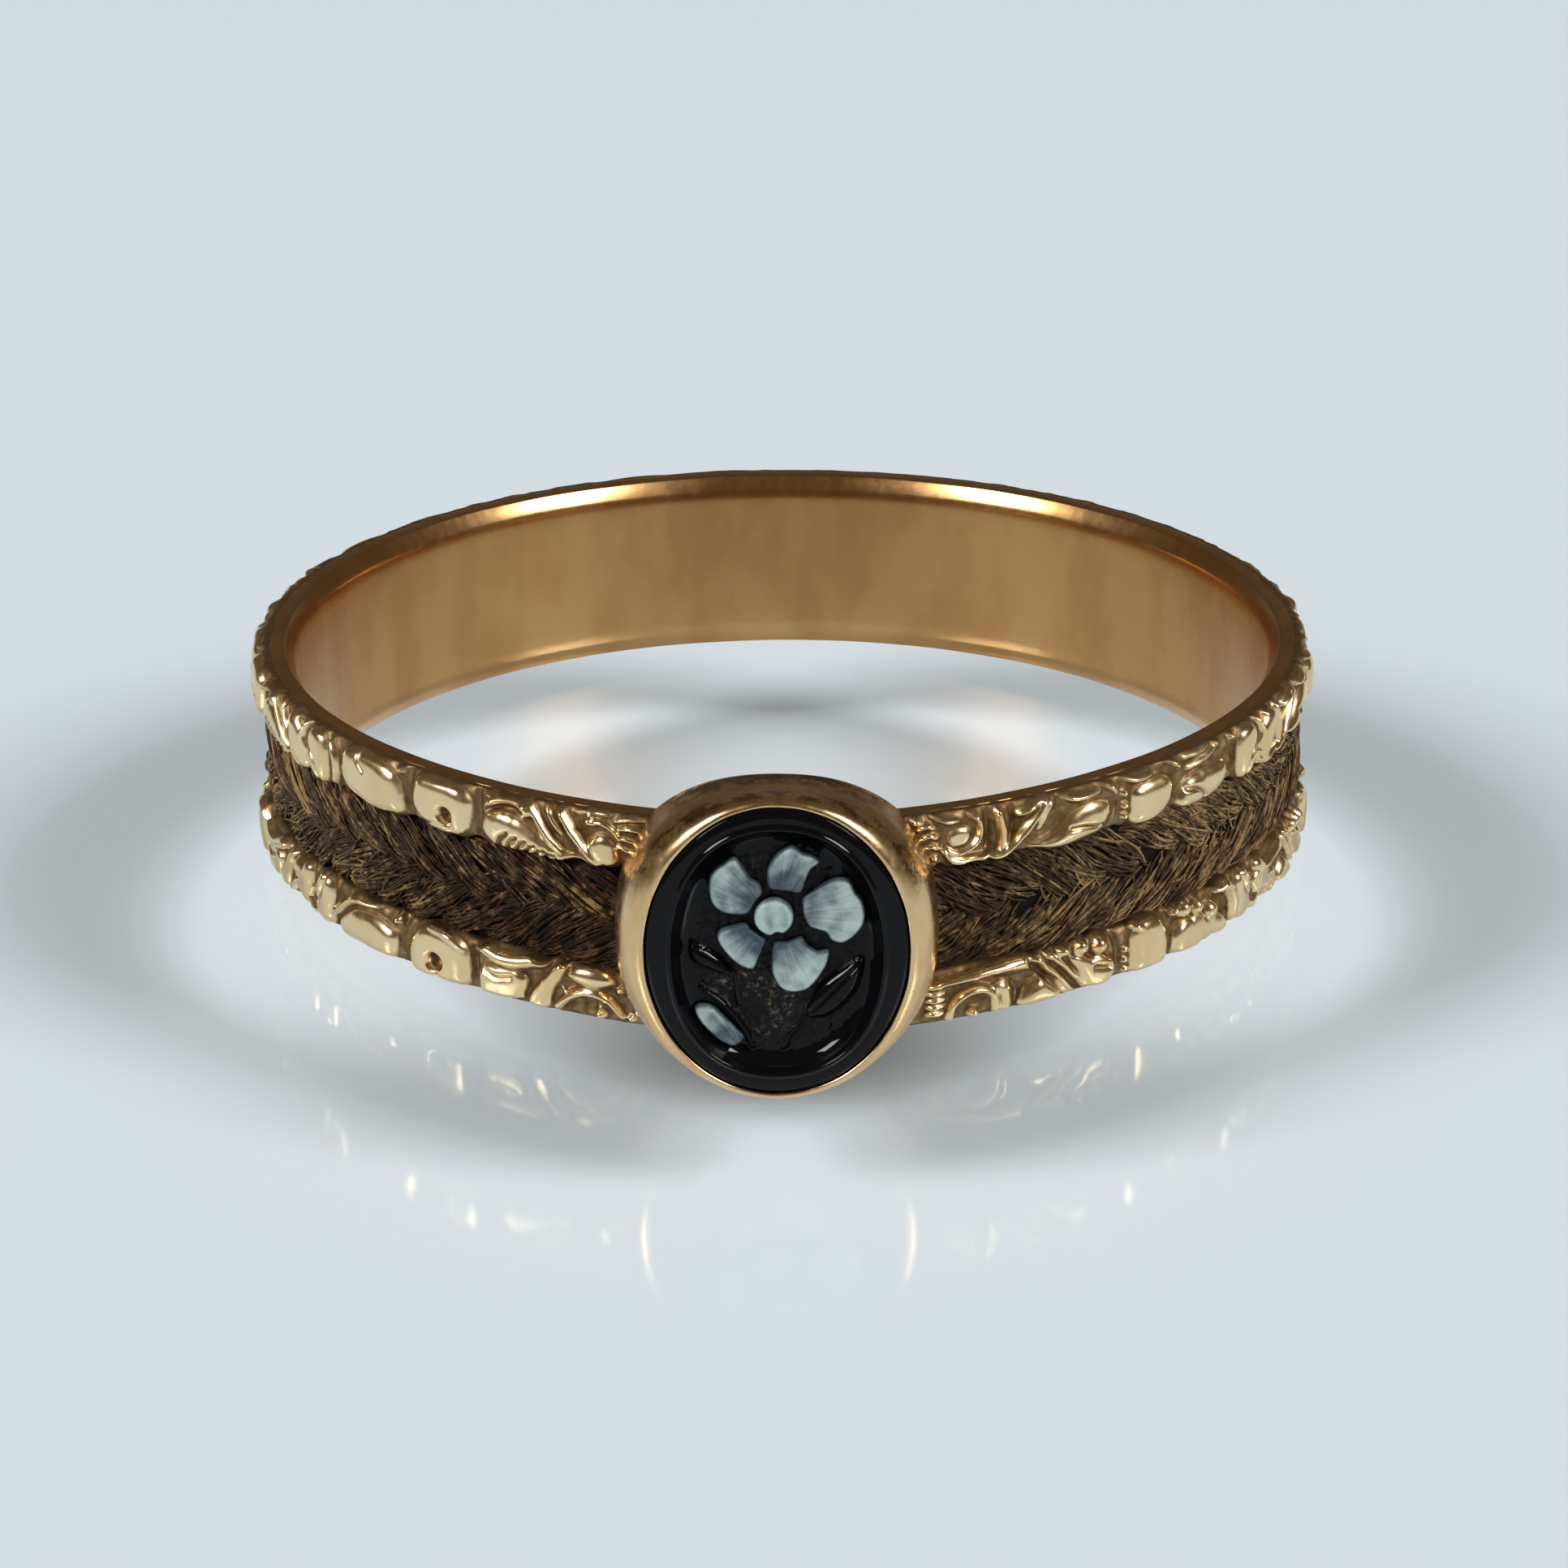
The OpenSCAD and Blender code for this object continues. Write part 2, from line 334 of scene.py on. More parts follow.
@dataclass(frozen=True)
class HairFinish:
    """Dark brown hair, tinted by hair and by lock, with pale flecks: partly paler strands, partly painted
    sheen.

    It is russet where the mesh's worn value is low and paler where it is high; that value grows away from
    the bezel and soonest on the right. dull is its lowest roughness.
    """

    name: str
    dark: Colour
    brown: Colour
    russet: Colour
    faded_and_sheen: Colour
    dull: float

    def material(self) -> bpy.types.Material:
        """Draws the finish.

        Returns:
            The finish as a Blender material.
        """
        shader = Shader(self.name)
        strand = shader.attribute("strand")
        lock = shader.attribute("lock")
        worn = shader.attribute("worn")
        patch = shader.noise(per_mm=1.1, detail=2.0, rough=0.5)
        flecks = shader.noise(per_mm=7.0, detail=4.0, rough=0.7)
        scales = shader.noise(per_mm=30.0, detail=2.0, rough=0.6)
        russet = shader.noise(per_mm=0.9, detail=2.0, rough=0.5).between(0.42, 0.6) * (1.0 - worn)
        brown = shader.blend(self.brown, self.russet, russet * 0.65)
        body = shader.blend(self.dark, brown, strand * 0.5 + lock * 0.3 + (flecks - 0.5) * 2.4 + worn * 0.42)
        # Pale flecks: paler strands, and painted sheen as well.
        light = (strand * 0.35 + lock * 0.22 + patch * 0.45 + flecks * 0.8 + worn * 0.2).between(1.06, 1.28)
        colour = shader.blend(body, self.faded_and_sheen, light)
        gloom = shader.noise(per_mm=3.6, detail=3.0, rough=0.6).between(0.45, 0.57) * (1.0 - worn * 0.5)
        colour = shader.blend(colour, self.dark, gloom * 0.85)
        normal = shader.bump(scales + flecks, depth_mm=0.008)
        return shader.finish(Base_Color=colour, Roughness=self.dull + 0.2 * scales, Normal=normal,
                             Specular_IOR_Level=0.13)


@dataclass(frozen=True)
class OnyxFinish:
    """Black stone: polished on the rim and the leaves, dusty and matt on the carved ground."""

    name: str
    black: Colour
    dust: Colour

    def material(self) -> bpy.types.Material:
        """Draws the finish.

        Returns:
            The finish as a Blender material.
        """
        shader = Shader(self.name)
        ground = shader.attribute("ground")
        specks = shader.noise(per_mm=11.0, detail=5.0, rough=0.75).between(0.5, 0.68)
        patches = shader.noise(per_mm=1.6, detail=2.0, rough=0.5).between(0.38, 0.58)
        colour = shader.blend(self.black, self.dust, specks * patches * shader.attribute("dusty"))
        scratch = shader.noise(per_mm=5.0, detail=3.0, rough=0.6).between(0.6, 0.8)
        dullness = 0.07 + 0.04 * scratch + 0.3 * ground
        stipple = shader.noise(per_mm=17.0, detail=3.0, rough=0.65) * ground
        normal = shader.bump(stipple, depth_mm=0.02)
        return shader.finish(Base_Color=colour, Roughness=dullness, Normal=normal, Specular_IOR_Level=0.16)


@dataclass(frozen=True)
class PaleLayerFinish:
    """The stone's pale top layer, bluer where it is cut thin over the black."""

    name: str
    thin: Colour
    thick: Colour

    def material(self) -> bpy.types.Material:
        """Draws the finish.

        Returns:
            The finish as a Blender material.
        """
        shader = Shader(self.name)
        layer = shader.attribute("layer")
        cloud = shader.noise(per_mm=4.0, detail=3.0, rough=0.55)
        share = (layer + (cloud - 0.5) * 0.85).between(0.05, 0.95)
        colour = shader.blend(self.thin, self.thick, share)
        normal = shader.bump(shader.noise(per_mm=14.0, detail=2.0, rough=0.5), depth_mm=0.004)
        return shader.finish(Base_Color=colour, Roughness=0.33 + 0.1 * cloud, Normal=normal,
                             Specular_IOR_Level=0.35)


BRIGHT_GOLD = GoldFinish("carved_gold", bright=(0.88, 0.68, 0.39, 1), worn=(0.82, 0.585, 0.30, 1),
                         grime_and_shade_colour=(0.14, 0.074, 0.026, 1), polish=0.19, dull=0.29, pit_depth=0.0006, carved=True)
# The sleeve's gold is a darker, more orange copy of the carved gold: painted shade inside the ring.
SHADED_SATIN_GOLD = GoldFinish("shaded_satin_gold", bright=(0.57, 0.335, 0.135, 1), worn=(0.505, 0.275, 0.105, 1),
                        grime_and_shade_colour=(0.3, 0.16, 0.06, 1), polish=0.3, dull=0.36, pit_depth=0.0004, upright=0.5,
                        rubbed=0.25)
BEZEL_GOLD = GoldFinish("bezel_gold", bright=(0.78, 0.55, 0.29, 1), worn=(0.7, 0.46, 0.21, 1),
                        grime_and_shade_colour=(0.2, 0.11, 0.026, 1), polish=0.2, dull=0.29, pit_depth=0.0004, pit_and_shade_strength=1.25)
SOLDER_GOLD = GoldFinish("solder_gold", bright=(0.4, 0.3, 0.185, 1), worn=(0.33, 0.23, 0.13, 1),
                         grime_and_shade_colour=(0.25, 0.12, 0.04, 1), polish=0.5, dull=0.6, pit_depth=0.0002)
PLAIT_HAIR = HairFinish("plait_hair", dark=(0.011, 0.0065, 0.003, 1), brown=(0.13, 0.075, 0.036, 1),
                        russet=(0.15, 0.052, 0.017, 1), faded_and_sheen=(0.36, 0.225, 0.095, 1), dull=0.5)
# The bed's hair is a far darker copy of the plait's colours: dark hair and painted shade under the strands.
UNDER_HAIR_AND_SHADE = HairFinish("under_hair_and_shade", dark=(0.006, 0.004, 0.003, 1), brown=(0.016, 0.011, 0.008, 1),
                        russet=(0.018, 0.01, 0.006, 1), faded_and_sheen=(0.03, 0.02, 0.01, 1), dull=0.6)
ONYX = OnyxFinish("carved_onyx", black=(0.0025, 0.0027, 0.0032, 1), dust=(0.12, 0.095, 0.06, 1))
PALE_BLUE = PaleLayerFinish("carved_pale_layer", thin=(0.035, 0.055, 0.072, 1), thick=(0.36, 0.46, 0.44, 1))


# Meshes


@dataclass(frozen=True)
class RestPose:
    """How the ring lies: leant by the bezel, which is wider than the band.

    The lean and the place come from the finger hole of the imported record.
    """

    lean_sin: float
    lean_cos: float
    centre: tuple[float, float, float]

    @classmethod
    def of_record(cls, record: dict[str, Any]) -> "RestPose":
        """Reads the pose off the finger hole's mount.

        Args:
            record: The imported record.

        Returns:
            The pose.
        """
        bore = next(mount for mount in record["mounts"] if mount["kind"] == "bore")
        lean = math.atan2(bore["axis"][1], bore["axis"][2])
        return cls(math.sin(lean), math.cos(lean), tuple(bore["pos_m"]))

    def turn(self, points: np.ndarray) -> np.ndarray:
        """Turns directions into the row's frame.

        Args:
            points: Directions in the ring's frame, in the last axis.

        Returns:
            The same directions in the row's frame.
        """
        x, y, z = points[..., 0], points[..., 1], points[..., 2]
        turned = (x, y * self.lean_cos + z * self.lean_sin, z * self.lean_cos - y * self.lean_sin)
        return np.stack(turned, axis=-1)

    def lay(self, points: np.ndarray) -> np.ndarray:
        """Turns places of the ring's frame, in millimetres, into the row's frame, in metres."""
        return self.turn(points) * MM + np.array(self.centre)


POSE = RestPose.of_record(frame["record"])


def grid_faces(rows: int, columns: int, close_rows: bool = False, close_columns: bool = False) -> np.ndarray:
    """Quads of a grid whose points are numbered row by row.

    Args:
        rows: Number of rows of points.
        columns: Number of points in a row.
        close_rows: The last row joins the first.
        close_columns: The last point of each row joins its first.

    Returns:
        An array of four point numbers a face.
    """
    row = np.arange(rows if close_rows else rows - 1)
    column = np.arange(columns if close_columns else columns - 1)
    low, left = np.meshgrid(row, column, indexing="ij")
    high, right = (low + 1) % rows, (left + 1) % columns
    corners = (low * columns + left, low * columns + right, high * columns + right, high * columns + left)
    return np.stack([corner.ravel() for corner in corners], axis=1)


def fan_faces(centre: int, first: int, count: int, onward: bool) -> list[list[int]]:
    """Triangles from a centre point to a closed row of points.

    Args:
        centre: Number of the centre point.
        first: Number of the row's first point.
        count: Number of points in the row.
        onward: The triangles are wound onward along the row, not back.

    Returns:
        Lists of three point numbers.
    """
    turn = [(centre, first + k, first + (k + 1) % count) for k in range(count)]
    return [[a, b, c] if onward else [a, c, b] for a, b, c in turn]


def capped_faces(rows: int, columns: int, first_cap: int, last_cap: int, start: int = 0) -> list[list[int]]:
    """Faces of a closed body that is a stack of closed rows with a point in the middle of each end.

    Args:
        rows: Number of rows of points.
        columns: Number of points in a row.
        first_cap: Number of the point that closes the first row, counted after the rows.
        last_cap: Number of the point that closes the last row, counted after the rows.
        start: Number of the body's first point.

    Returns:
        Lists of point numbers, one a face.
    """
    count = rows * columns
    faces = (grid_faces(rows, columns, close_columns=True) + start).tolist()
    faces += fan_faces(start + count + first_cap, start, columns, onward=False)
    faces += fan_faces(start + count + last_cap, start + count - columns, columns, onward=True)
    return faces


def full_turn(steps: int) -> np.ndarray:
    """Angles of one full turn, without its end."""
    return np.linspace(0, 2 * math.pi, steps, endpoint=False)


def round_band(radius: np.ndarray, turn: np.ndarray, height: np.ndarray) -> np.ndarray:
    """Places round the finger hole, a row for each angle."""
    height = np.broadcast_to(height, radius.shape)
    return np.stack([radius * np.sin(turn)[:, None], -radius * np.cos(turn)[:, None], height], axis=-1)


def make_piece(name: str, points: np.ndarray, faces: Sequence[Sequence[int]], finish: Finish,
               attributes: dict[str, np.ndarray] | None = None) -> bpy.types.Object:
    """Makes a smooth mesh object from points of the ring's frame.

    Args:
        name: The piece's name.
        points: Places in millimetres in the ring's frame, one a row.
        faces: Point numbers of each face.
        finish: The finish that it gets.
        attributes: Numbers for each point, by name, which the material reads.

    Returns:
        The new object at the origin.
    """
    mesh = bpy.data.meshes.new(name)
    mesh.from_pydata(POSE.lay(points.reshape(-1, 3)).tolist(), [], [list(map(int, face)) for face in faces])
    for key, values in (attributes or {}).items():
        layer = mesh.attributes.new(key, "FLOAT", "POINT")
        layer.data.foreach_set("value", np.asarray(values, np.float32).ravel())
    mesh.shade_smooth()
    mesh.materials.append(bpy.data.materials.get(finish.name) or finish.material())
    mesh.validate()
    piece = bpy.data.objects.new(name, mesh)
    bpy.context.scene.collection.objects.link(piece)
    return piece


def settle(piece: bpy.types.Object, slot: Slot, *nodes: str) -> None:
    """Gives a piece its place in the part and reports it.

    Args:
        piece: The finished object.
        slot: Its material slot; not used.
        nodes: The frame's nodes that it stands for.
    """
    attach(piece, BODY)
    if nodes:
        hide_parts(*nodes)
    triangles = sum(len(face.vertices) - 2 for face in piece.data.polygons)
    LOG.info("%s: %d triangles", piece.name, triangles)


def ripple(values: np.ndarray, waves: Sequence[float], seed: int) -> np.ndarray:
    """A smooth random line from -1 to 1: a sum of sines with fixed random phases."""
    phases = np.random.default_rng(seed).uniform(0, 2 * math.pi, len(waves))
    return sum(np.sin(wave * values + phase) for wave, phase in zip(waves, phases)) / len(waves)


def rough_patch(across: np.ndarray, along: np.ndarray, per_mm: float, seed: int,
                waves: int = 14) -> np.ndarray:
    """A smooth random field of about -1 to 1, from sines that run in many directions.

    Args:
        across: First coordinate of each place.
        along: Second coordinate of each place.
        per_mm: About how many bumps there are in a millimetre.
        seed: What the random numbers start from.
        waves: Number of sines.

    Returns:
        The field at each place.
    """
    rng = np.random.default_rng(seed)
    field_sum = np.zeros_like(across)
    for _ in range(waves):
        turn, phase = rng.uniform(0, 2 * math.pi, 2)
        pitch = 2 * math.pi * per_mm * rng.uniform(0.6, 1.5)
        field_sum += np.sin(pitch * (across * math.cos(turn) + along * math.sin(turn)) + phase)
    return field_sum * math.sqrt(2 / waves) * 0.5


def soft_step(value: np.ndarray) -> np.ndarray:
    """0 below 0, 1 above 1 and smooth between."""
    share = np.clip(value, 0, 1)
    return share * share * (3 - 2 * share)


def dome(value: np.ndarray) -> np.ndarray:
    """Height of a round shoulder: 0 at 0 and 1 from 1 on."""
    return np.sqrt(1 - (1 - np.clip(value, 0, 1)) ** 2)


def smooth_path(points: Path, closed: bool = False, steps: int = 6) -> np.ndarray:
    """A Catmull-Rom curve through a few points.

    Args:
        points: The points in order.
        closed: The curve returns to its first point.
        steps: Places on the curve from one point to the next.

    Returns:
        Places on the curve, one a row.
    """
    knots = np.array(points, float)
    count = len(knots)
    if closed:
        knots = np.concatenate([knots[-1:], knots, knots[:2]])
        spans = count
    else:
        knots = np.concatenate([2 * knots[:1] - knots[1:2], knots, 2 * knots[-1:] - knots[-2:-1]])
        spans = count - 1
    share = np.arange(steps)[:, None] / steps
    parts = []
    for k in range(spans):
        a, b, c, d = knots[k:k + 4]
        parts.append(0.5 * (2 * b + (c - a) * share + (2 * a - 5 * b + 4 * c - d) * share ** 2
                            + (3 * b - a - 3 * c + d) * share ** 3))
    if not closed:
        parts.append(knots[-2:-1])
    return np.concatenate(parts)


def nearest_on_path(x: np.ndarray, y: np.ndarray, path: np.ndarray) -> tuple[np.ndarray, np.ndarray]:
    """Finds the nearest place of a path.

    Args:
        x: First coordinate of each place.
        y: Second coordinate of each place.
        path: The path's points, one a row.

    Returns:
        Distance to the path, and how far along it the nearest place is, from 0 to 1.
    """
    best = np.full(x.shape, np.inf)
    along = np.zeros(x.shape)
    spans = len(path) - 1
    for k in range(spans):
        start, step = path[k], path[k + 1] - path[k]
        square = max(float(step @ step), 1e-12)
        share = np.clip(((x - start[0]) * step[0] + (y - start[1]) * step[1]) / square, 0, 1)
        gap = np.hypot(x - start[0] - share * step[0], y - start[1] - share * step[1])
        nearer = gap < best
        best = np.where(nearer, gap, best)
        along = np.where(nearer, (k + share) / spans, along)
    return best, along


def depth_inside(x: np.ndarray, y: np.ndarray, outline: np.ndarray) -> np.ndarray:
    """Distance to a closed outline, by counting how often a level line crosses it.

    Args:
        x: First coordinate of each place.
        y: Second coordinate of each place.
        outline: The outline's points, one a row.

    Returns:
        The distance, positive inside and negative outside.
    """
    ring = np.concatenate([outline, outline[:1]])
    gap, _ = nearest_on_path(x, y, ring)
    inside = np.zeros(x.shape, bool)
    for (x0, y0), (x1, y1) in zip(ring[:-1], ring[1:]):
        if y0 == y1:
            continue
        crosses = (y0 > y) != (y1 > y)
        inside ^= crosses & (x < (x1 - x0) * (y - y0) / (y1 - y0) + x0)
    return np.where(inside, gap, -gap)


# Carving strokes


class Stroke(Protocol):
    """One cut or one raised form of a relief."""

    def reach(self) -> tuple[float, float]:
        """Lowest and highest place along the relief that it changes."""

    def carve(self, x: np.ndarray, y: np.ndarray, height: np.ndarray) -> np.ndarray:
        """Cuts or raises the stroke.

        Args:
            x: Distance of each place along the relief.
            y: Distance of each place across it.
            height: The height there before the stroke.

        Returns:
            The height after the stroke.
        """


@dataclass(frozen=True)
class Lobe:
    """A raised form with a closed outline, round shoulders and a low crown."""

    outline: Path
    height: float
    shoulder: float
    crown: float
    crown_reach: float = 0.45

    def reach(self) -> tuple[float, float]:
        """Lowest and highest place along the relief that it changes."""
        places = [point[0] for point in self.outline]
        return min(places) - self.shoulder, max(places) + self.shoulder

    def carve(self, x: np.ndarray, y: np.ndarray, height: np.ndarray) -> np.ndarray:
        """Raises the form where it stands above the relief.

        Args:
            x: Distance of each place along the relief.
            y: Distance of each place across it.
            height: The height there before the stroke.

        Returns:
            The height after the stroke.
        """
        inside = depth_inside(x, y, smooth_path(self.outline, closed=True, steps=4))
        shoulder = self.height * dome(inside / (1.35 * self.shoulder))
        rise = shoulder + 1.8 * self.crown * dome(inside / self.crown_reach)
        return np.where(inside > 0, np.maximum(height, rise), height)


@dataclass(frozen=True)
class LineStroke:
    """What a ridge and a groove share: a line through a few points, and its half width."""

    path: Path
    half: float

    def reach(self) -> tuple[float, float]:
        """Lowest and highest place along the relief that it changes."""
        places = [point[0] for point in self.path]
        return min(places) - 2 * self.half, max(places) + 2 * self.half


@dataclass(frozen=True)
class Ridge(LineStroke):
    """A raised line with a round back that thins out towards its ends."""

    height: float = 0.16
    thin_end: float = 0.45

    def carve(self, x: np.ndarray, y: np.ndarray, height: np.ndarray) -> np.ndarray:
        """Raises the line where it stands above the relief.

        Args:
            x: Distance of each place along the relief.
            y: Distance of each place across it.
            height: The height there before the stroke.

        Returns:
            The height after the stroke.
        """
        gap, along = nearest_on_path(x, y, smooth_path(self.path))
        half = self.half * (self.thin_end + (1 - self.thin_end) * np.sin(math.pi * along) ** 0.7)
        back = self.height * np.sqrt(np.clip(1 - (gap / half) ** 2, 0, 1))
        return np.maximum(height, back * (0.8 + 0.2 * np.sin(math.pi * along)))


@dataclass(frozen=True)
class Groove(LineStroke):
    """A cut line, deepest along its middle."""

    depth: float = 0.12

    def carve(self, x: np.ndarray, y: np.ndarray, height: np.ndarray) -> np.ndarray:
        """The height after the stroke."""
        gap, _ = nearest_on_path(x, y, smooth_path(self.path))
        return height - self.depth * np.clip(1 - (gap / self.half) ** 2, 0, 1) ** 1.2


@dataclass(frozen=True)
class DotStroke:
    """What a bead and a pit share: a middle and a radius."""

    at: tuple[float, float]
    radius: float

    def reach(self) -> tuple[float, float]:
        """Lowest and highest place along the relief that it changes."""
        return self.at[0] - self.radius, self.at[0] + self.radius

    def ball(self, x: np.ndarray, y: np.ndarray) -> np.ndarray:
        """Height of half a ball of that radius, as a share of its own."""
        gap = np.hypot(x - self.at[0], y - self.at[1]) / self.radius
        return np.sqrt(np.clip(1 - gap ** 2, 0, 1))


@dataclass(frozen=True)
class Bead(DotStroke):
    """A raised dot."""

    height: float = 0.17

    def carve(self, x: np.ndarray, y: np.ndarray, height: np.ndarray) -> np.ndarray:
        """The height after the stroke."""
        return np.maximum(height, self.height * self.ball(x, y))


@dataclass(frozen=True)
class Pit(DotStroke):
    """A drilled dot."""

    depth: float = 0.15

    def carve(self, x: np.ndarray, y: np.ndarray, height: np.ndarray) -> np.ndarray:
        """The height after the stroke."""
        return height - self.depth * self.ball(x, y)


# Each run of carving, in millimetres. The first number of a place is the distance from the middle of the
# front along the border, the second the distance from the middle of the band's width. The numbers after the
# places are the stroke's other fields in their order.

UPPER_LEFT_RUN: tuple[Stroke, ...] = (
    Ridge([(2.68, 1.22), (2.45, 1.12), (2.2, 1.02)], 0.06, 0.15),
    Ridge([(2.66, 1.38), (2.45, 1.34), (2.15, 1.26)], 0.055, 0.16),
    Ridge([(2.66, 1.52), (2.42, 1.56), (2.12, 1.5)], 0.055, 0.17),
    Ridge([(2.7, 1.66), (2.5, 1.72), (2.2, 1.74)], 0.055, 0.16),
    Lobe([(2.66, 0.9), (2.7, 1.3), (2.95, 1.42), (3.2, 1.2), (3.05, 0.86)], 0.12, 0.14, 0.02),
    Ridge([(2.62, 1.3), (2.74, 1.52), (2.95, 1.62), (3.12, 1.55)], 0.06, 0.16),
    Bead((3.14, 1.62), 0.09, 0.18),
    Ridge([(2.78, 1.74), (3.1, 1.78), (3.4, 1.72)], 0.05, 0.14),
    Ridge([(3.68, 1.78), (3.48, 1.42), (3.25, 1.12), (3.0, 0.86)], 0.09, 0.2, 0.6),
    Ridge([(3.92, 1.78), (3.78, 1.5), (3.62, 1.28)], 0.05, 0.12),
    Ridge([(4.22, 1.8), (4.05, 1.5), (3.84, 1.2), (3.6, 0.98)], 0.075, 0.17, 0.55),
    Groove([(3.62, 1.5), (3.46, 1.12), (3.3, 0.9)], 0.06, 0.06),
    Lobe([(5.12, 1.02), (5.06, 1.34), (4.8, 1.5), (4.4, 1.46), (3.95, 1.24), (3.5, 0.99), (3.1, 0.82),
          (3.6, 0.74), (4.2, 0.74), (4.8, 0.82)], 0.12, 0.21, 0.03),
    *(Groove([(4.82 - 0.17 * k, 0.74), (4.75 - 0.17 * k, 0.96 - 0.015 * k),
              (4.6 - 0.17 * k, 1.14 - 0.05 * k)], 0.042, 0.13) for k in range(6)),
    Ridge([(5.0, 1.56), (4.74, 1.72), (4.42, 1.74), (4.2, 1.6), (4.3, 1.5)], 0.1, 0.21, 0.45),
    Ridge([(5.04, 1.7), (4.8, 1.8), (4.5, 1.82)], 0.05, 0.15),
    Groove([(5.02, 1.44), (4.76, 1.54), (4.5, 1.56)], 0.035, 0.08),
    Lobe([(5.34, 1.1), (5.3, 1.5), (5.5, 1.74), (5.95, 1.8), (6.4, 1.74), (6.56, 1.4), (6.5, 1.05),
          (6.2, 0.87), (5.75, 0.83), (5.45, 0.9)], 0.15, 0.19, 0.03),
    Groove([(6.4, 1.0), (6.15, 0.97), (5.95, 1.05)], 0.04, 0.04),
    Pit((5.79, 1.2), 0.15, 0.24),
    Pit((5.7, 1.04), 0.09, 0.06),
    Bead((5.96, 1.42), 0.05, 0.2),
    Groove([(5.2, 0.8), (5.19, 1.3), (5.2, 1.85)], 0.07, 0.12),
    Groove([(6.6, 1.86), (6.74, 1.4), (6.62, 0.8)], 0.085, 0.13),
    Bead((6.86, 1.72), 0.08, 0.19),
    Lobe([(6.8, 0.95), (6.84, 1.4), (7.0, 1.66), (7.5, 1.78), (8.0, 1.8), (8.35, 1.62), (8.42, 1.2),
          (8.2, 0.93), (7.6, 0.82), (7.1, 0.84)], 0.14, 0.23, 0.03),
    Groove([(8.32, 1.42), (8.16, 1.08), (7.75, 0.93)], 0.045, 0.06),
    Groove([(7.84, 1.74), (7.8, 1.58), (7.68, 1.46)], 0.035, 0.07),
    Ridge([(8.74, 1.72), (8.6, 1.5), (8.56, 1.2), (8.66, 0.95)], 0.1, 0.18, 0.5),
)

LOWER_LEFT_RUN: tuple[Stroke, ...] = (
    Bead((2.42, 1.12), 0.08, 0.16),
    Bead((2.5, 1.3), 0.075, 0.16),
    Bead((2.4, 1.46), 0.08, 0.17),
    Bead((2.38, 1.63), 0.07, 0.15),
    Bead((2.5, 1.76), 0.07, 0.15),
    Bead((2.68, 1.22), 0.07, 0.15),
    Lobe([(2.74, 1.08), (3.0, 0.9), (3.4, 0.9), (3.62, 1.1), (3.3, 1.33), (2.95, 1.3)], 0.15, 0.2, 0.04),
    Ridge([(3.8, 1.74), (3.56, 1.5), (3.2, 1.38), (2.88, 1.46), (2.64, 1.72)], 0.095, 0.19, 0.6),
    Pit((3.26, 1.64), 0.19, 0.14),
    Bead((3.02, 1.74), 0.1, 0.17),
    Ridge([(3.72, 1.36), (3.55, 1.46), (3.42, 1.44)], 0.04, 0.12),
    Ridge([(4.3, 1.8), (4.12, 1.45), (3.86, 1.12), (3.58, 0.9)], 0.075, 0.17, 0.6),
    Lobe([(4.3, 1.84), (4.24, 1.5), (4.06, 1.2), (3.84, 0.95), (3.62, 0.9), (3.66, 1.16), (3.82, 1.46),
          (3.96, 1.84)], 0.12, 0.12, 0.02),
    Groove([(4.24, 1.5), (4.0, 1.16), (3.76, 0.88)], 0.05, 0.08),
    Ridge([(5.22, 0.92), (4.84, 1.08), (4.4, 1.06), (3.95, 0.88)], 0.15, 0.23, 0.55),
    Lobe([(5.24, 1.28), (4.9, 1.22), (4.5, 1.2), (4.3, 1.38), (4.45, 1.74), (4.9, 1.82), (5.24, 1.74)],
         0.13, 0.1, 0.03),
    Groove([(5.16, 1.32), (4.9, 1.43), (4.58, 1.36)], 0.04, 0.08),
    Ridge([(5.26, 1.76), (4.85, 1.66), (4.42, 1.7)], 0.07, 0.17, 0.5),
    Groove([(5.2, 0.82), (5.4, 1.15), (5.32, 1.5), (5.36, 1.86)], 0.07, 0.14),
    Bead((5.28, 0.94), 0.06, 0.15),
    Lobe([(5.48, 1.05), (5.44, 1.5), (5.58, 1.82), (6.2, 1.86), (6.68, 1.82), (6.8, 1.4), (6.62, 1.0),
          (6.2, 0.83), (5.78, 0.86)], 0.15, 0.19, 0.03),
    Ridge([(6.3, 0.86), (5.9, 0.9), (5.56, 1.06)], 0.07, 0.235),
    Pit((6.14, 1.48), 0.17, 0.24),
    Groove([(6.88, 0.82), (7.06, 1.25), (6.96, 1.86)], 0.09, 0.14),
    Bead((7.05, 0.98), 0.08, 0.17),
    Lobe([(7.14, 1.2), (7.1, 1.6), (7.3, 1.82), (8.0, 1.84), (8.55, 1.8), (8.72, 1.5), (8.3, 1.18),
          (7.7, 1.04)], 0.14, 0.23, 0.03),
    Ridge([(8.92, 1.5), (8.5, 1.14), (8.0, 0.92), (7.6, 0.86)], 0.1, 0.19, 0.45),
)

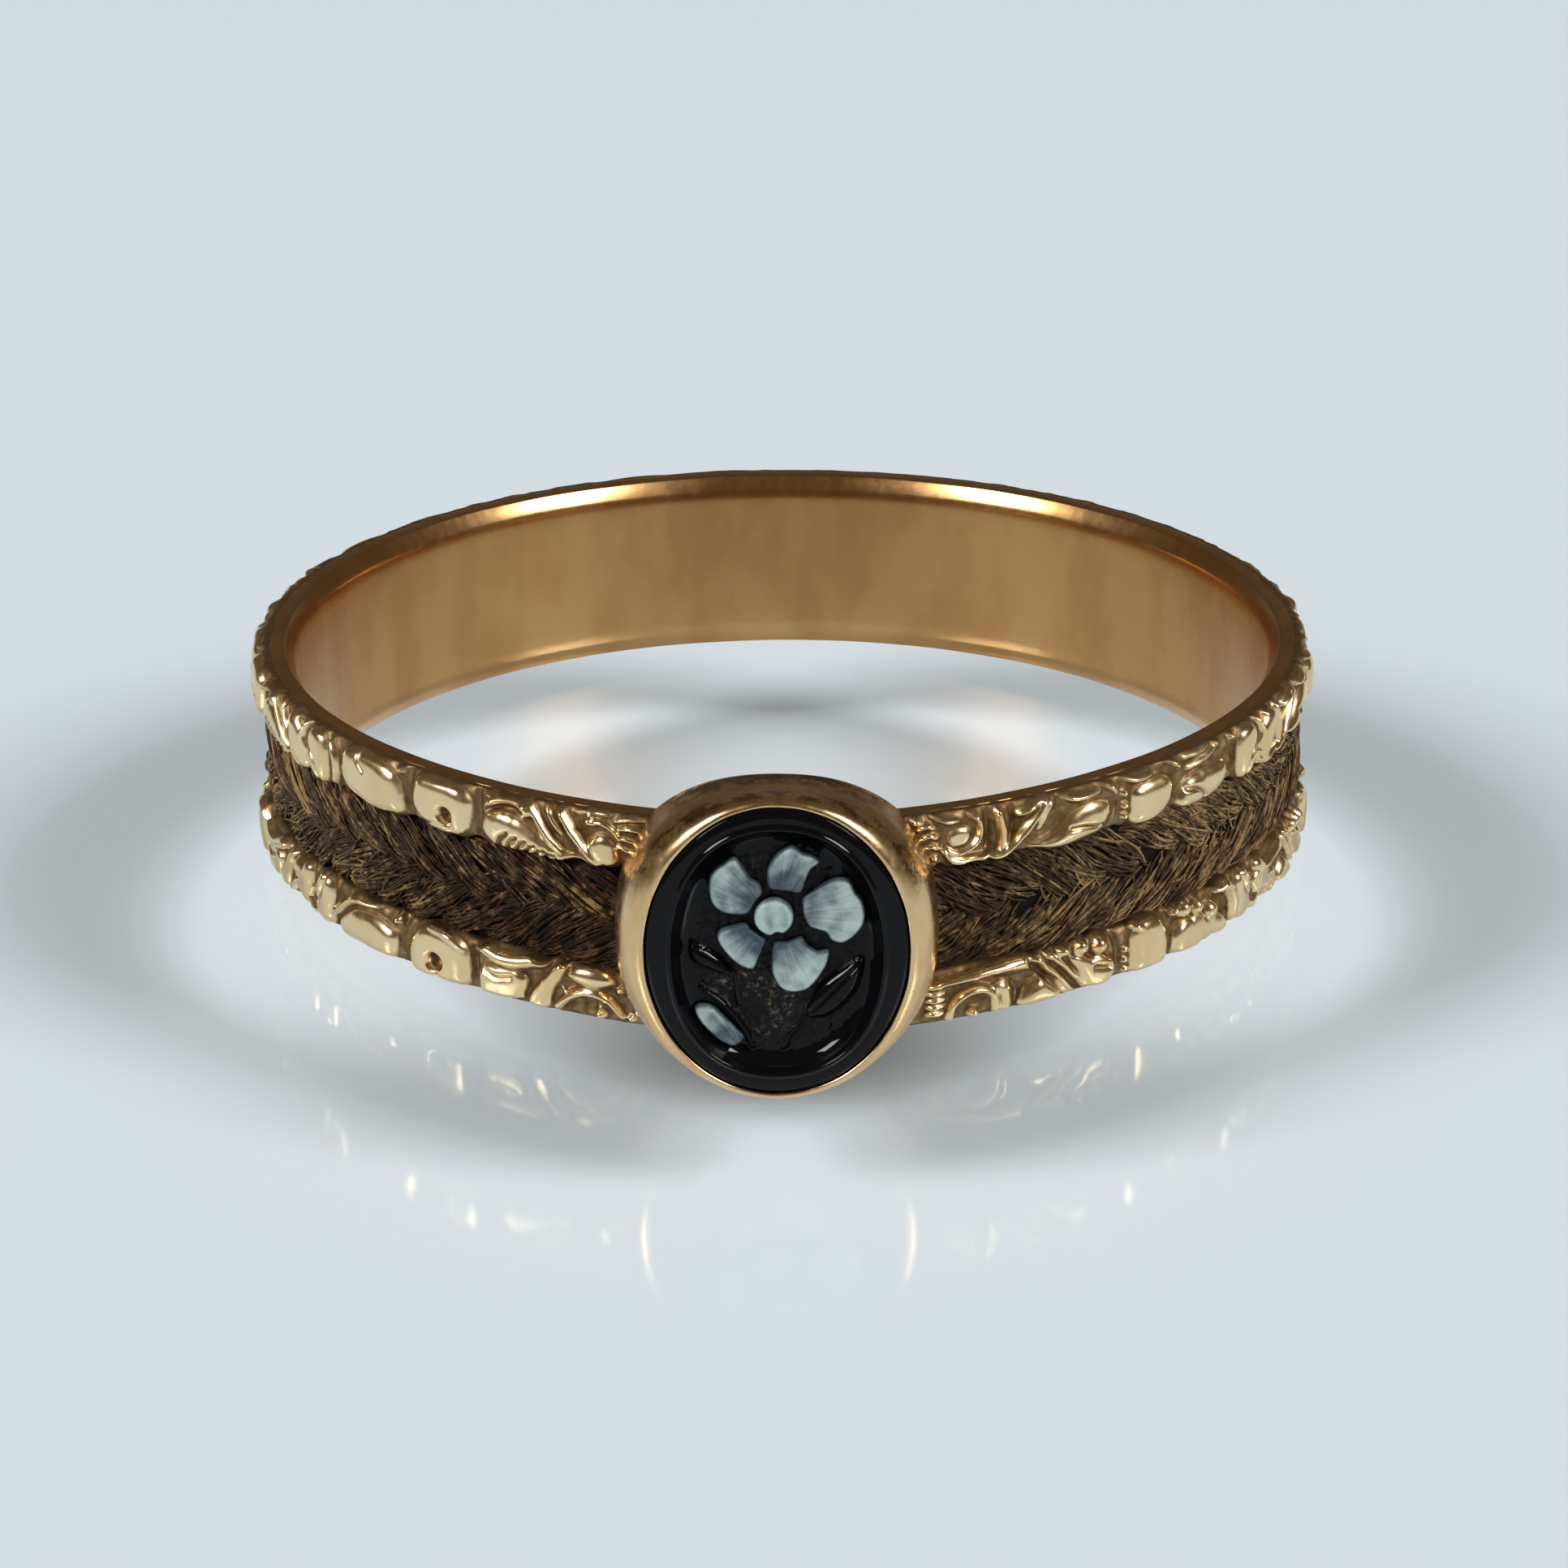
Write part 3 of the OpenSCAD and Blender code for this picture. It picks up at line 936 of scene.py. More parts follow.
UPPER_RIGHT_RUN: tuple[Stroke, ...] = (
    Bead((2.14, 1.7), 0.09, 0.17),
    Ridge([(2.16, 1.52), (2.3, 1.6), (2.46, 1.54)], 0.05, 0.15),
    Ridge([(2.2, 1.34), (2.36, 1.42), (2.5, 1.36)], 0.05, 0.16),
    Ridge([(2.28, 1.16), (2.42, 1.22), (2.52, 1.14)], 0.05, 0.15),
    Bead((2.44, 1.0), 0.07, 0.15),
    Lobe([(2.64, 1.3), (2.72, 1.48), (2.95, 1.5), (3.08, 1.34), (3.0, 1.16), (2.76, 1.14)], 0.09, 0.095, 0.0),
    Ridge([(2.4, 1.78), (2.6, 1.66), (2.84, 1.64)], 0.06, 0.17, 0.6),
    Ridge([(3.02, 1.74), (3.18, 1.58), (3.2, 1.32), (3.06, 1.12), (2.82, 1.06), (2.64, 1.16)],
          0.06, 0.17, 0.6),
    Ridge([(2.58, 1.1), (2.76, 0.94), (3.1, 0.87), (3.5, 0.93), (3.9, 1.14), (4.2, 1.46), (4.42, 1.8)],
          0.095, 0.19, 0.5),
    Ridge([(3.58, 0.98), (3.6, 1.3), (3.52, 1.7)], 0.09, 0.17, 0.6),
    Ridge([(3.86, 1.56), (4.08, 1.64), (4.34, 1.8)], 0.08, 0.18, 0.5),
    Groove([(3.34, 0.96), (3.36, 1.35), (3.3, 1.85)], 0.06, 0.1),
    Groove([(3.78, 1.16), (3.8, 1.45), (3.72, 1.85)], 0.045, 0.1),
    Lobe([(4.06, 0.86), (4.5, 1.12), (4.86, 1.42), (5.25, 1.55), (5.58, 1.44), (5.64, 1.18), (5.46, 0.93),
          (5.0, 0.84), (4.5, 0.81)], 0.14, 0.24, 0.035),
    Groove([(4.82, 1.14), (5.1, 1.12), (5.42, 1.02)], 0.045, 0.1),
    Pit((4.52, 1.42), 0.11, 0.08),
    Ridge([(4.24, 1.2), (4.36, 1.5), (4.56, 1.8)], 0.06, 0.16, 0.5),
    Ridge([(4.68, 1.74), (4.95, 1.64), (5.42, 1.66)], 0.075, 0.18, 0.5),
    Groove([(5.62, 1.85), (5.78, 1.45), (5.84, 1.05), (5.7, 0.78)], 0.05, 0.14),
    Ridge([(5.42, 1.82), (5.62, 1.68), (5.74, 1.5)], 0.06, 0.18, 0.6),
    Bead((5.95, 1.02), 0.06, 0.16),
    Bead((5.96, 1.22), 0.06, 0.16),
    Bead((5.94, 1.46), 0.065, 0.16),
    Lobe([(6.04, 1.15), (6.08, 1.48), (6.35, 1.6), (6.8, 1.6), (7.02, 1.36), (6.96, 1.04), (6.7, 0.86),
          (6.3, 0.82), (6.06, 0.9)], 0.15, 0.19, 0.03),
    Ridge([(5.88, 1.78), (6.15, 1.68), (6.52, 1.68)], 0.075, 0.18, 0.5),
    Groove([(6.84, 1.85), (7.06, 1.6), (7.14, 1.3), (7.02, 0.98), (6.86, 0.8)], 0.055, 0.13),
    Ridge([(6.66, 1.84), (6.98, 1.78), (7.2, 1.58)], 0.06, 0.18, 0.5),
    Lobe([(7.16, 0.86), (7.24, 1.2), (7.5, 1.38), (8.0, 1.42), (8.44, 1.36), (8.46, 1.0), (8.1, 0.83),
          (7.6, 0.8)], 0.14, 0.19, 0.03),
    Groove([(7.34, 1.18), (7.62, 1.12), (7.86, 0.9)], 0.045, 0.1),
    Ridge([(7.44, 1.5), (7.8, 1.56), (8.2, 1.68)], 0.06, 0.12),
    Ridge([(7.4, 1.7), (7.8, 1.72), (8.1, 1.8)], 0.05, 0.12),
    Bead((8.24, 1.76), 0.09, 0.18),
    Bead((8.7, 1.7), 0.08, 0.17),
    Pit((8.6, 1.05), 0.12, 0.06),
)

LOWER_RIGHT_RUN: tuple[Stroke, ...] = (
    *(Ridge([(2.34, 1.16 + 0.13 * k), (2.48, 1.18 + 0.13 * k), (2.64, 1.22 + 0.12 * k)], 0.042, 0.15)
      for k in range(5)),
    Ridge([(2.72, 1.84), (2.78, 1.57), (2.98, 1.4), (3.26, 1.36), (3.48, 1.5), (3.54, 1.8)],
          0.085, 0.19, 0.75),
    Pit((3.1, 1.62), 0.2, 0.12),
    Bead((3.14, 1.78), 0.11, 0.18),
    Ridge([(2.5, 1.14), (3.0, 1.1), (3.5, 1.04), (3.95, 1.04)], 0.1, 0.2, 0.5),
    Lobe([(3.3, 0.98), (3.75, 0.86), (4.14, 0.88), (4.18, 1.14), (3.8, 1.2), (3.4, 1.12)], 0.12, 0.22, 0.03),
    Lobe([(3.42, 1.34), (3.66, 1.26), (3.82, 1.44), (3.8, 1.84), (3.58, 1.86), (3.56, 1.56)],
         0.12, 0.18, 0.03),
    Groove([(3.84, 1.36), (3.94, 1.55), (3.9, 1.85)], 0.04, 0.12),
    Lobe([(3.94, 1.6), (4.2, 1.34), (4.56, 1.42), (4.86, 1.7), (4.84, 1.84), (4.0, 1.86)], 0.14, 0.19, 0.03),
    Ridge([(4.2, 0.9), (4.6, 1.34), (5.02, 1.82)], 0.06, 0.18, 0.7),
    Ridge([(4.38, 0.88), (4.8, 1.26), (5.2, 1.74)], 0.06, 0.17, 0.7),
    Groove([(4.08, 0.96), (4.46, 1.42), (4.82, 1.84)], 0.05, 0.09),
    Lobe([(4.86, 1.06), (5.2, 1.16), (5.7, 1.28), (5.84, 1.55), (5.64, 1.82), (5.26, 1.78), (5.04, 1.45)],
         0.13, 0.1, 0.03),
    Bead((4.76, 0.95), 0.15, 0.2),
    Bead((5.11, 1.0), 0.16, 0.21),
    Bead((5.49, 1.07), 0.17, 0.21),
    Groove([(5.36, 1.4), (5.52, 1.46), (5.7, 1.47)], 0.045, 0.1),
    Groove([(5.74, 0.78), (5.92, 1.2), (5.94, 1.86)], 0.06, 0.14),
    Bead((6.06, 1.3), 0.055, 0.15),
    Bead((6.06, 1.5), 0.055, 0.15),
    Bead((6.08, 1.7), 0.055, 0.15),
    Lobe([(6.16, 1.0), (6.12, 1.5), (6.22, 1.82), (6.9, 1.84), (7.04, 1.5), (6.98, 1.1), (6.75, 0.88),
          (6.4, 0.86)], 0.15, 0.19, 0.03),
    Ridge([(6.14, 0.84), (6.3, 0.94), (6.48, 1.08)], 0.06, 0.19),
    Groove([(6.98, 0.8), (7.16, 1.3), (7.06, 1.86)], 0.06, 0.14),
    Lobe([(7.2, 1.3), (7.6, 1.14), (8.0, 1.2), (8.6, 1.46), (8.64, 1.82), (7.3, 1.84)], 0.14, 0.19, 0.03),
    Bead((7.2, 0.93), 0.08, 0.16),
    Bead((7.44, 0.99), 0.17, 0.2),
    Bead((7.78, 1.05), 0.16, 0.2),
    Bead((8.16, 1.2), 0.2, 0.22),
    Groove([(7.84, 1.74), (8.1, 1.7), (8.34, 1.76)], 0.045, 0.1),
    Ridge([(8.34, 0.86), (8.62, 0.96), (8.84, 1.24), (8.86, 1.6)], 0.13, 0.22, 0.6),
)

# Forms that take the place of a run's first small ones where the run is repeated further round
BETWEEN_RUNS: tuple[Stroke, ...] = (
    Lobe([(1.95, 0.95), (1.95, 1.6), (2.25, 1.8), (2.6, 1.6), (2.56, 1.0), (2.25, 0.8)], 0.15, 0.19, 0.03),
    Groove([(2.2, 0.9), (2.3, 1.2), (2.5, 1.4)], 0.05, 0.08),
    Lobe([(2.76, 0.84), (2.72, 1.3), (2.95, 1.66), (3.3, 1.78), (3.44, 1.4), (3.2, 0.95)], 0.14, 0.2, 0.03),
    Ridge([(2.66, 1.8), (2.84, 1.5), (2.7, 1.2)], 0.07, 0.16),
)


# Band and bezel


@dataclass(frozen=True)
class BandSizes:
    """Sizes that the sleeve, the borders and the hair share, in millimetres.

    Distances along the carving and along the hair are measured at carving_r and hair_r.
    """

    bore_r: float = 8.7
    half_width: float = 1.785
    channel_r: float = 9.02
    channel_half: float = 0.925
    shoulder_r: float = 9.16
    carving_r: float = 9.45
    hair_r: float = 9.24

    sag_reach: float = 5.0
    sag_middle: float = 0.19
    sag_lean: float = 0.065

    def sag(self, points: np.ndarray) -> np.ndarray:
        """Widens the band a little beside the bezel and sets it lower there, as the old ring is.

        Args:
            points: Places in the ring's frame, in the last axis.

        Returns:
            The moved places.
        """
        along = np.arctan2(points[..., 0], -points[..., 1]) * self.carving_r
        near = np.exp(-(along / self.sag_reach) ** 2)
        moved = points.copy()
        moved[..., 2] -= near * (self.sag_middle - self.sag_lean * np.clip(points[..., 2], -1, 1))
        return moved


@dataclass
class Sleeve:
    """The plain inner sleeve with its worn, chamfered edges, and the floor of the channel.

    The bend's places are shares of the chamfer's depth, outwards, and of its height, upwards.
    """

    sizes: BandSizes
    around: int = 512
    chamfer_depth: float = 0.2
    chamfer_height: float = 0.37
    rim_edge: float = 0.012
    channel_corner: float = 0.03
    uneven: float = 0.006
    bend: Path = ((0.0, -0.75), (0.006, -0.45), (0.025, -0.22), (0.06, -0.04), (0.12, 0.14), (0.2, 0.3),
                  (0.88, 0.9), (0.95, 0.955), (1.05, 0.98), (1.15, 0.98))

    def half_section(self) -> list[tuple[float, float]]:
        """The upper half of the sleeve's section.

        Returns:
            Radius and height of places from the middle of the inner wall round to the middle of the channel.
        """
        size = self.sizes
        bend = [(size.bore_r + self.chamfer_depth * deep, size.half_width - self.chamfer_height * (1 - tall))
                for deep, tall in self.bend]
        wall = [(size.bore_r, z) for z in np.linspace(0, bend[0][1], 6)[:-1]]
        top = bend[-1][1]
        rim = [(r, top) for r in np.linspace(bend[-1][0], size.shoulder_r, 5)[1:-1]]
        edge = [(size.shoulder_r - self.rim_edge, top), (size.shoulder_r, top - self.rim_edge)]
        corner, half = self.channel_corner, size.channel_half
        wall_out = [(size.shoulder_r, half + 0.05), (size.shoulder_r - corner, half)]
        floor = [(size.channel_r + corner, half), (size.channel_r, half - corner), (size.channel_r, half / 2),
                 (size.channel_r, 0.0)]
        return wall + bend + rim + edge + wall_out + floor

    def build(self) -> None:
        """Makes the sleeve as a closed turned body."""
        upper = self.half_section()
        section = np.array(upper + [(r, -z) for r, z in upper[-2:0:-1]])
        turn = full_turn(self.around)
        radius = section[:, 0][None, :] + self.uneven * ripple(turn, (3, 5, 9, 14), 3)[:, None]
        lift = self.uneven * ripple(turn, (4, 7, 11, 19, 31), 5)[:, None] * np.sign(section[:, 1])[None, :]
        height = section[:, 1][None, :] + lift * (np.abs(section[:, 1]) > self.sizes.channel_half + 0.1)
        points = self.sizes.sag(round_band(radius, turn, height))
        faces = grid_faces(self.around, len(section), close_rows=True, close_columns=True)
        worn_from = self.sizes.half_width - 1.25 * self.chamfer_height
        worn_to_r = self.sizes.bore_r + 1.2 * self.chamfer_depth
        chamfer = (np.abs(section[:, 1]) > worn_from) & (section[:, 0] < worn_to_r)
        rubbed = np.broadcast_to(chamfer, radius.shape)
        piece = make_piece("sleeve", points, faces, SHADED_SATIN_GOLD, {"rubbed": rubbed})
        settle(piece, Slot.GOLD, "band")


@dataclass
class CarvedBorder:
    """One of the two raised borders: a strip round the band whose face is carved with scrolls and leaves.

    The carving of each side is one run, repeated on the way to the back without its small first forms.
    Where it is low in the edge_rows, counted from an edge, the edge is drawn in and its shoulder is wider:
    a shoulder's numbers are its width beside the highest carving and what the lowest adds.
    """

    sizes: BandSizes
    edge: Edge
    runs: dict[Side, tuple[Stroke, ...]]
    run_length: float = 6.9
    run_count: int = 4
    small_forms_to: float = 3.3
    lower_lift: float = 0.15
    ground_r: float = 9.315
    inner_edge_r: float = 9.2
    outer_edge_r: float = 9.24
    root_depth: float = 0.1
    root_run: float = 0.3
    skirt_gap: float = 0.03
    face_low: float = 0.8
    inner_draw: float = 0.1
    outer_draw: float = 0.012
    inner_shoulder: tuple[float, float] = (0.06, 0.08)
    outer_shoulder: tuple[float, float] = (0.07, 0.18)
    ground_bumps: float = 0.01
    worn_bumps: float = 0.005
    hidden_to: float = 1.8
    hidden_step: float = 0.2
    detail_to: float = 12.6
    fine_step: float = 0.024
    far_columns: int = 340
    rows: int = 40
    lowest: float = -0.06
    highest: float = 0.24
    edge_rows: tuple[int, int] = (7, 11)
    hollow_below: float = 0.1
    hollow_depth: float = 0.045

    def side_columns(self) -> np.ndarray:
        """Distances from the front to the back along one side.

        Returns:
            The distances, close together where the front view shows them.
        """
        hidden = np.arange(0.0, self.hidden_to, self.hidden_step)
        near = np.arange(self.hidden_to, self.detail_to, self.fine_step)
        far = np.linspace(self.detail_to, math.pi * self.sizes.carving_r, self.far_columns)
        return np.concatenate([hidden, near, far])

    def relief(self, along: np.ndarray, across: np.ndarray, strokes: Sequence[Stroke]) -> np.ndarray:
        """Height of the carving over one side's grid.

        Args:
            along: Distance from the front of each column, rising.
            across: Distance from the band's middle of each row.
            strokes: The first run's strokes, which the next runs repeat.

        Returns:
            Heights in millimetres, a row for each column of the border.
        """
        x, y = np.meshgrid(along, across, indexing="ij")
        height = self.ground_bumps + self.ground_bumps * rough_patch(x, y, 3.5, 7)
        if self.edge is Edge.LOWER:
            y = y + self.lower_lift * np.exp(-(x / self.sizes.sag_reach) ** 2)
        for run in range(self.run_count):
            shift = run * self.run_length
            for stroke in (*BETWEEN_RUNS, *strokes) if run else strokes:
                low, high = stroke.reach()
                if run and high < self.small_forms_to and stroke not in BETWEEN_RUNS:
                    continue
                first, last = np.searchsorted(along, (low + shift, high + shift))
                if last > first:
                    part = slice(first, last)
                    height[part] = stroke.carve(x[part] - shift, y[part], height[part])
        bumps = self.worn_bumps * rough_patch(x, y, 1.7, 11)
        return self.soften(np.clip(height, self.lowest, self.highest)) + bumps

    @staticmethod
    def soften(height: np.ndarray) -> np.ndarray:
        """Rounds the sharp edges of the carving a little, as wear does.

        Args:
            height: Height of the carving at each column and row.

        Returns:
            The worn height.
        """
        for axis in (0, 1, 0, 1):
            height = 0.5 * height + 0.25 * (np.roll(height, 1, axis) + np.roll(height, -1, axis))
        return height

    def hollows(self, height: np.ndarray, reach: int = 6) -> np.ndarray:
        """How far each place lies below its neighbourhood.

        Args:
            height: Height of the carving at each column and row.
            reach: Columns and rows on each side that count as near.

        Returns:
            A share from 0 to 1 at each column and row.
        """
        blurred = height
        for axis in (0, 1):
            shifted = [np.roll(blurred, k, axis) for k in range(-reach, reach + 1)]
            blurred = sum(shifted) / len(shifted)
        low = np.clip((self.hollow_below - height) / self.hollow_below, 0, 1)
        deep = np.clip((blurred - height) / self.hollow_depth, 0, 1)
        return np.clip(deep * 0.8 + low * 0.65, 0, 1)

    def row_shares(self) -> np.ndarray:
        """Where the rows lie across the border, from 0 to 1, close together at both edges."""
        middle = np.linspace(0, 1, self.rows)[1:-1] * 0.95 + 0.025
        return np.concatenate([[0, 0.006, 0.018], middle, [0.985, 0.995, 1]])

    def joined_relief(self, share: np.ndarray) -> tuple[np.ndarray, np.ndarray]:
        """Carves both sides and joins them.

        Args:
            share: Where each row lies across the border.

        Returns:
            Distance of each column from the front, and the carving's height at each column and row.
        """
        side = self.side_columns()
        across = self.face_low + (self.sizes.half_width - self.face_low) * share
        left = self.relief(side, across, self.runs[Side.LEFT])
        right = self.relief(side, across, self.runs[Side.RIGHT])
        height = np.concatenate([left[:0:-1], right[:-1]])
        height[0] = 0.5 * (left[-1] + right[-1])
        return np.concatenate([-side[:0:-1], side[:-1]]), height

    def edge_lowness(self, height: np.ndarray) -> tuple[np.ndarray, np.ndarray]:
        """How low the carving is near the border's edges.

        Args:
            height: Height of the carving at each column and row.

        Returns:
            The lowness along the inner and the outer edge, from 0 at the carving's highest to 1.
        """
        first, last = self.edge_rows
        inner = height[:, first:last].mean(axis=1)
        outer = height[:, -last:-first].mean(axis=1)
        top = height.max()
        return 1 - np.clip(inner / top, 0, 1), 1 - np.clip(outer / top, 0, 1)

    def build(self) -> None:
        """Makes the border as one strip that is closed all round.

        The carved face falls off over both edges. Two columns of places on each side of it lead down to
        the channel and into the sleeve.
        """
        size = self.sizes
        share = self.row_shares()
        along, height = self.joined_relief(share)
        low_in, low_out = self.edge_lowness(height)
        inner = self.face_low + self.inner_draw * low_in
        outer = size.half_width - self.outer_draw * low_out
        z = inner[:, None] + (outer - inner)[:, None] * share[None, :]
        shoulder_in = self.inner_shoulder[0] + self.inner_shoulder[1] * low_in
        shoulder_out = self.outer_shoulder[0] + self.outer_shoulder[1] * low_out
        rise_in = dome((z - inner[:, None]) / shoulder_in[:, None])
        rise_out = dome((outer[:, None] - z) / shoulder_out[:, None])
        face_r = self.ground_r + height
        radius = self.inner_edge_r + (face_r - self.inner_edge_r) * rise_in
        radius = np.minimum(radius, self.outer_edge_r + (face_r - self.outer_edge_r) * rise_out)

        skirt_r = (size.channel_r + self.skirt_gap, size.channel_r + self.root_depth)
        root_r = (self.outer_edge_r - self.root_depth, size.channel_r + self.root_depth)
        radius = np.pad(radius, ((0, 0), (2, 2)))
        radius[:, :2], radius[:, -2:] = skirt_r, root_r
        skirt, root = np.stack([inner, inner], -1), np.stack([outer - 0.004, outer - self.root_run], -1)
        z = np.concatenate([skirt, z, root], axis=1)

        # Mask of dirt and painted shade: dark in the hollows, along the low edge shoulders and on the side
        # columns.
        hollow = self.hollows(height)
        hollow = np.maximum(hollow, (1 - rise_in ** 2) * (0.35 + 0.65 * low_in[:, None]))
        hollow = np.maximum(hollow, (1 - rise_out ** 2) * low_out[:, None])
        cavity = np.pad(hollow, ((0, 0), (2, 2)), constant_values=1.0)
        points = size.sag(round_band(radius, along / size.carving_r, self.edge.value * z))
        faces = grid_faces(*radius.shape, close_rows=True, close_columns=True)
        if self.edge is Edge.UPPER:
            faces = faces[:, ::-1]
        name = f"border_{self.edge.name.lower()}"
        settle(make_piece(name, points, faces, BRIGHT_GOLD, {"cavity": cavity}), Slot.GOLD, "band")


@dataclass(frozen=True)
class OvalRing:
    """One ring of an oval loft: distance towards the front, half width, half height and squareness."""

    front: float
    half_width: float
    half_height: float
    square: float = 2.0

    def points(self, turns: np.ndarray, centre: tuple[float, float]) -> np.ndarray:
        """Places of the ring at some angles.

        Args:
            turns: Angles in radians from the ring's right end, upwards.
            centre: The oval's middle, to the right and up.

        Returns:
            Places in the ring's frame, one a row.
        """
        power = 2 / self.square
        x = centre[0] + self.half_width * np.sign(np.cos(turns)) * np.abs(np.cos(turns)) ** power
        z = centre[1] + self.half_height * np.sign(np.sin(turns)) * np.abs(np.sin(turns)) ** power
        return np.stack([x, np.full_like(x, -self.front), z], axis=-1)


def oval_rings(*rows: tuple[float, ...]) -> tuple[OvalRing, ...]:
    """Rings from the numbers of each."""
    return tuple(OvalRing(*row) for row in rows)


@dataclass
class OvalBody:
    """What the bezel and the stone share: the middle of their oval."""

    centre: tuple[float, float] = (-0.1, 0.02)

    def middle(self, front: float) -> np.ndarray:
        """The oval's middle at a distance towards the front, as a single row."""
        return np.array([[self.centre[0], -front, self.centre[1]]])


@dataclass
class Bezel(OvalBody):
    """The oval setting: a flared wall on a saddle foot, and a thin lip rubbed over the stone."""

    around: int = 420
    saddle_r: float = 9.2
    saddle_lift: float = 0.004
    saddle_shares: tuple[float, ...] = (0.25, 0.55, 0.8, 1.0)
    uneven: float = 0.006
    lip_front: float = 10.3
    lip_half: float = 0.17
    top_from: float = 1.7
    back_to: float = 9.85
    seat: OvalRing = OvalRing(9.75, 2.07, 2.43)
    seat_shares: tuple[float, ...] = (1.0, 0.6, 0.25)
    wall: tuple[OvalRing, ...] = oval_rings(
        (9.22, 2.545, 2.44, 2.25), (9.4, 2.55, 2.45, 2.24), (9.6, 2.55, 2.465, 2.22),
        (9.8, 2.545, 2.48, 2.2), (9.95, 2.53, 2.495, 2.18), (10.08, 2.5, 2.51, 2.15),
        (10.2, 2.46, 2.525, 2.12), (10.3, 2.415, 2.535, 2.1), (10.39, 2.36, 2.545, 2.08),
        (10.46, 2.31, 2.55, 2.06), (10.52, 2.255, 2.545, 2.04), (10.565, 2.2, 2.53, 2.02),
        (10.595, 2.155, 2.505), (10.61, 2.12, 2.475), (10.61, 2.09, 2.45),
        (10.59, 2.07, 2.435), (10.55, 2.065, 2.43), (10.3, 2.07, 2.435),
    )

    def saddle_rows(self, turns: np.ndarray) -> list[np.ndarray]:
        """Rows of the foot, which bends round the sleeve.

        Args:
            turns: Angle of each place in a row.

        Returns:
            Rows of places from the middle of the foot to its edge.
        """
        foot, middle = self.wall[0].points(turns, self.centre), self.middle(0.0)
        rows = [middle + (foot - middle) * share for share in self.saddle_shares]
        for row in rows:
            row[:, 1] = -np.sqrt(self.saddle_r ** 2 - row[:, 0] ** 2)
        rows[-1][:, 1] -= self.saddle_lift
        return rows

    def wall_rows(self, turns: np.ndarray) -> list[np.ndarray]:
        """Rows of the wall and the lip, a little uneven, as a hand-made one is.

        Args:
            turns: Angle of each place in a row.

        Returns:
            Rows of places from the foot over the lip to its inner edge.
        """
        wave = self.uneven * ripple(turns, (5, 9, 14, 23), 21)
        rows = []
        for ring in self.wall:
            row = ring.points(turns, self.centre)
            outward = row - self.middle(ring.front)
            rows.append(row + outward / np.linalg.norm(outward, axis=1)[:, None] * wave[:, None])
        return rows

    def seat_rows(self, turns: np.ndarray) -> list[np.ndarray]:
        """Rows of the level seat below the stone, from its edge inwards."""
        edge, middle = self.seat.points(turns, self.centre), self.middle(self.seat.front)
        return [middle * (1 - share) + edge * share for share in self.seat_shares]

    def pitting_and_shade(self, points: np.ndarray) -> np.ndarray:
        """How far the gold is marked: pits and dirt on the upper lip, and on top of the wall dirt and painted
        shade, most towards its back, where a flat band of painted shade runs along the edge that meets the
        band.

        Args:
            points: Places in the ring's frame, one a row.

        Returns:
            A share for each place, which passes 1 where it is worst.
        """
        front, up = -points[:, 1], points[:, 2]
        near_lip = soft_step(1.5 - np.abs(front - self.lip_front) / self.lip_half)
        upper = soft_step((up - 0.6) / 0.9)
        top_side = soft_step((up - self.top_from) / 0.6)
        # Darker towards the back of the top, where it meets the band: painted shade.
        back_edge_shade = soft_step((self.back_to - front) / 0.45)
        return np.maximum(near_lip * upper, (0.3 + 0.95 * back_edge_shade) * top_side)

    def build(self) -> None:
        """Makes the setting as one closed body."""
        turns = full_turn(self.around)
        rows = self.saddle_rows(turns) + self.wall_rows(turns) + self.seat_rows(turns)
        points = np.concatenate([*rows, self.middle(self.saddle_r), self.middle(self.seat.front)])
        faces = capped_faces(len(rows), self.around, first_cap=0, last_cap=1)
        piece = make_piece("bezel", points, faces, BEZEL_GOLD, {"pitting_and_shade": self.pitting_and_shade(points)})
        settle(piece, Slot.GOLD, "band")


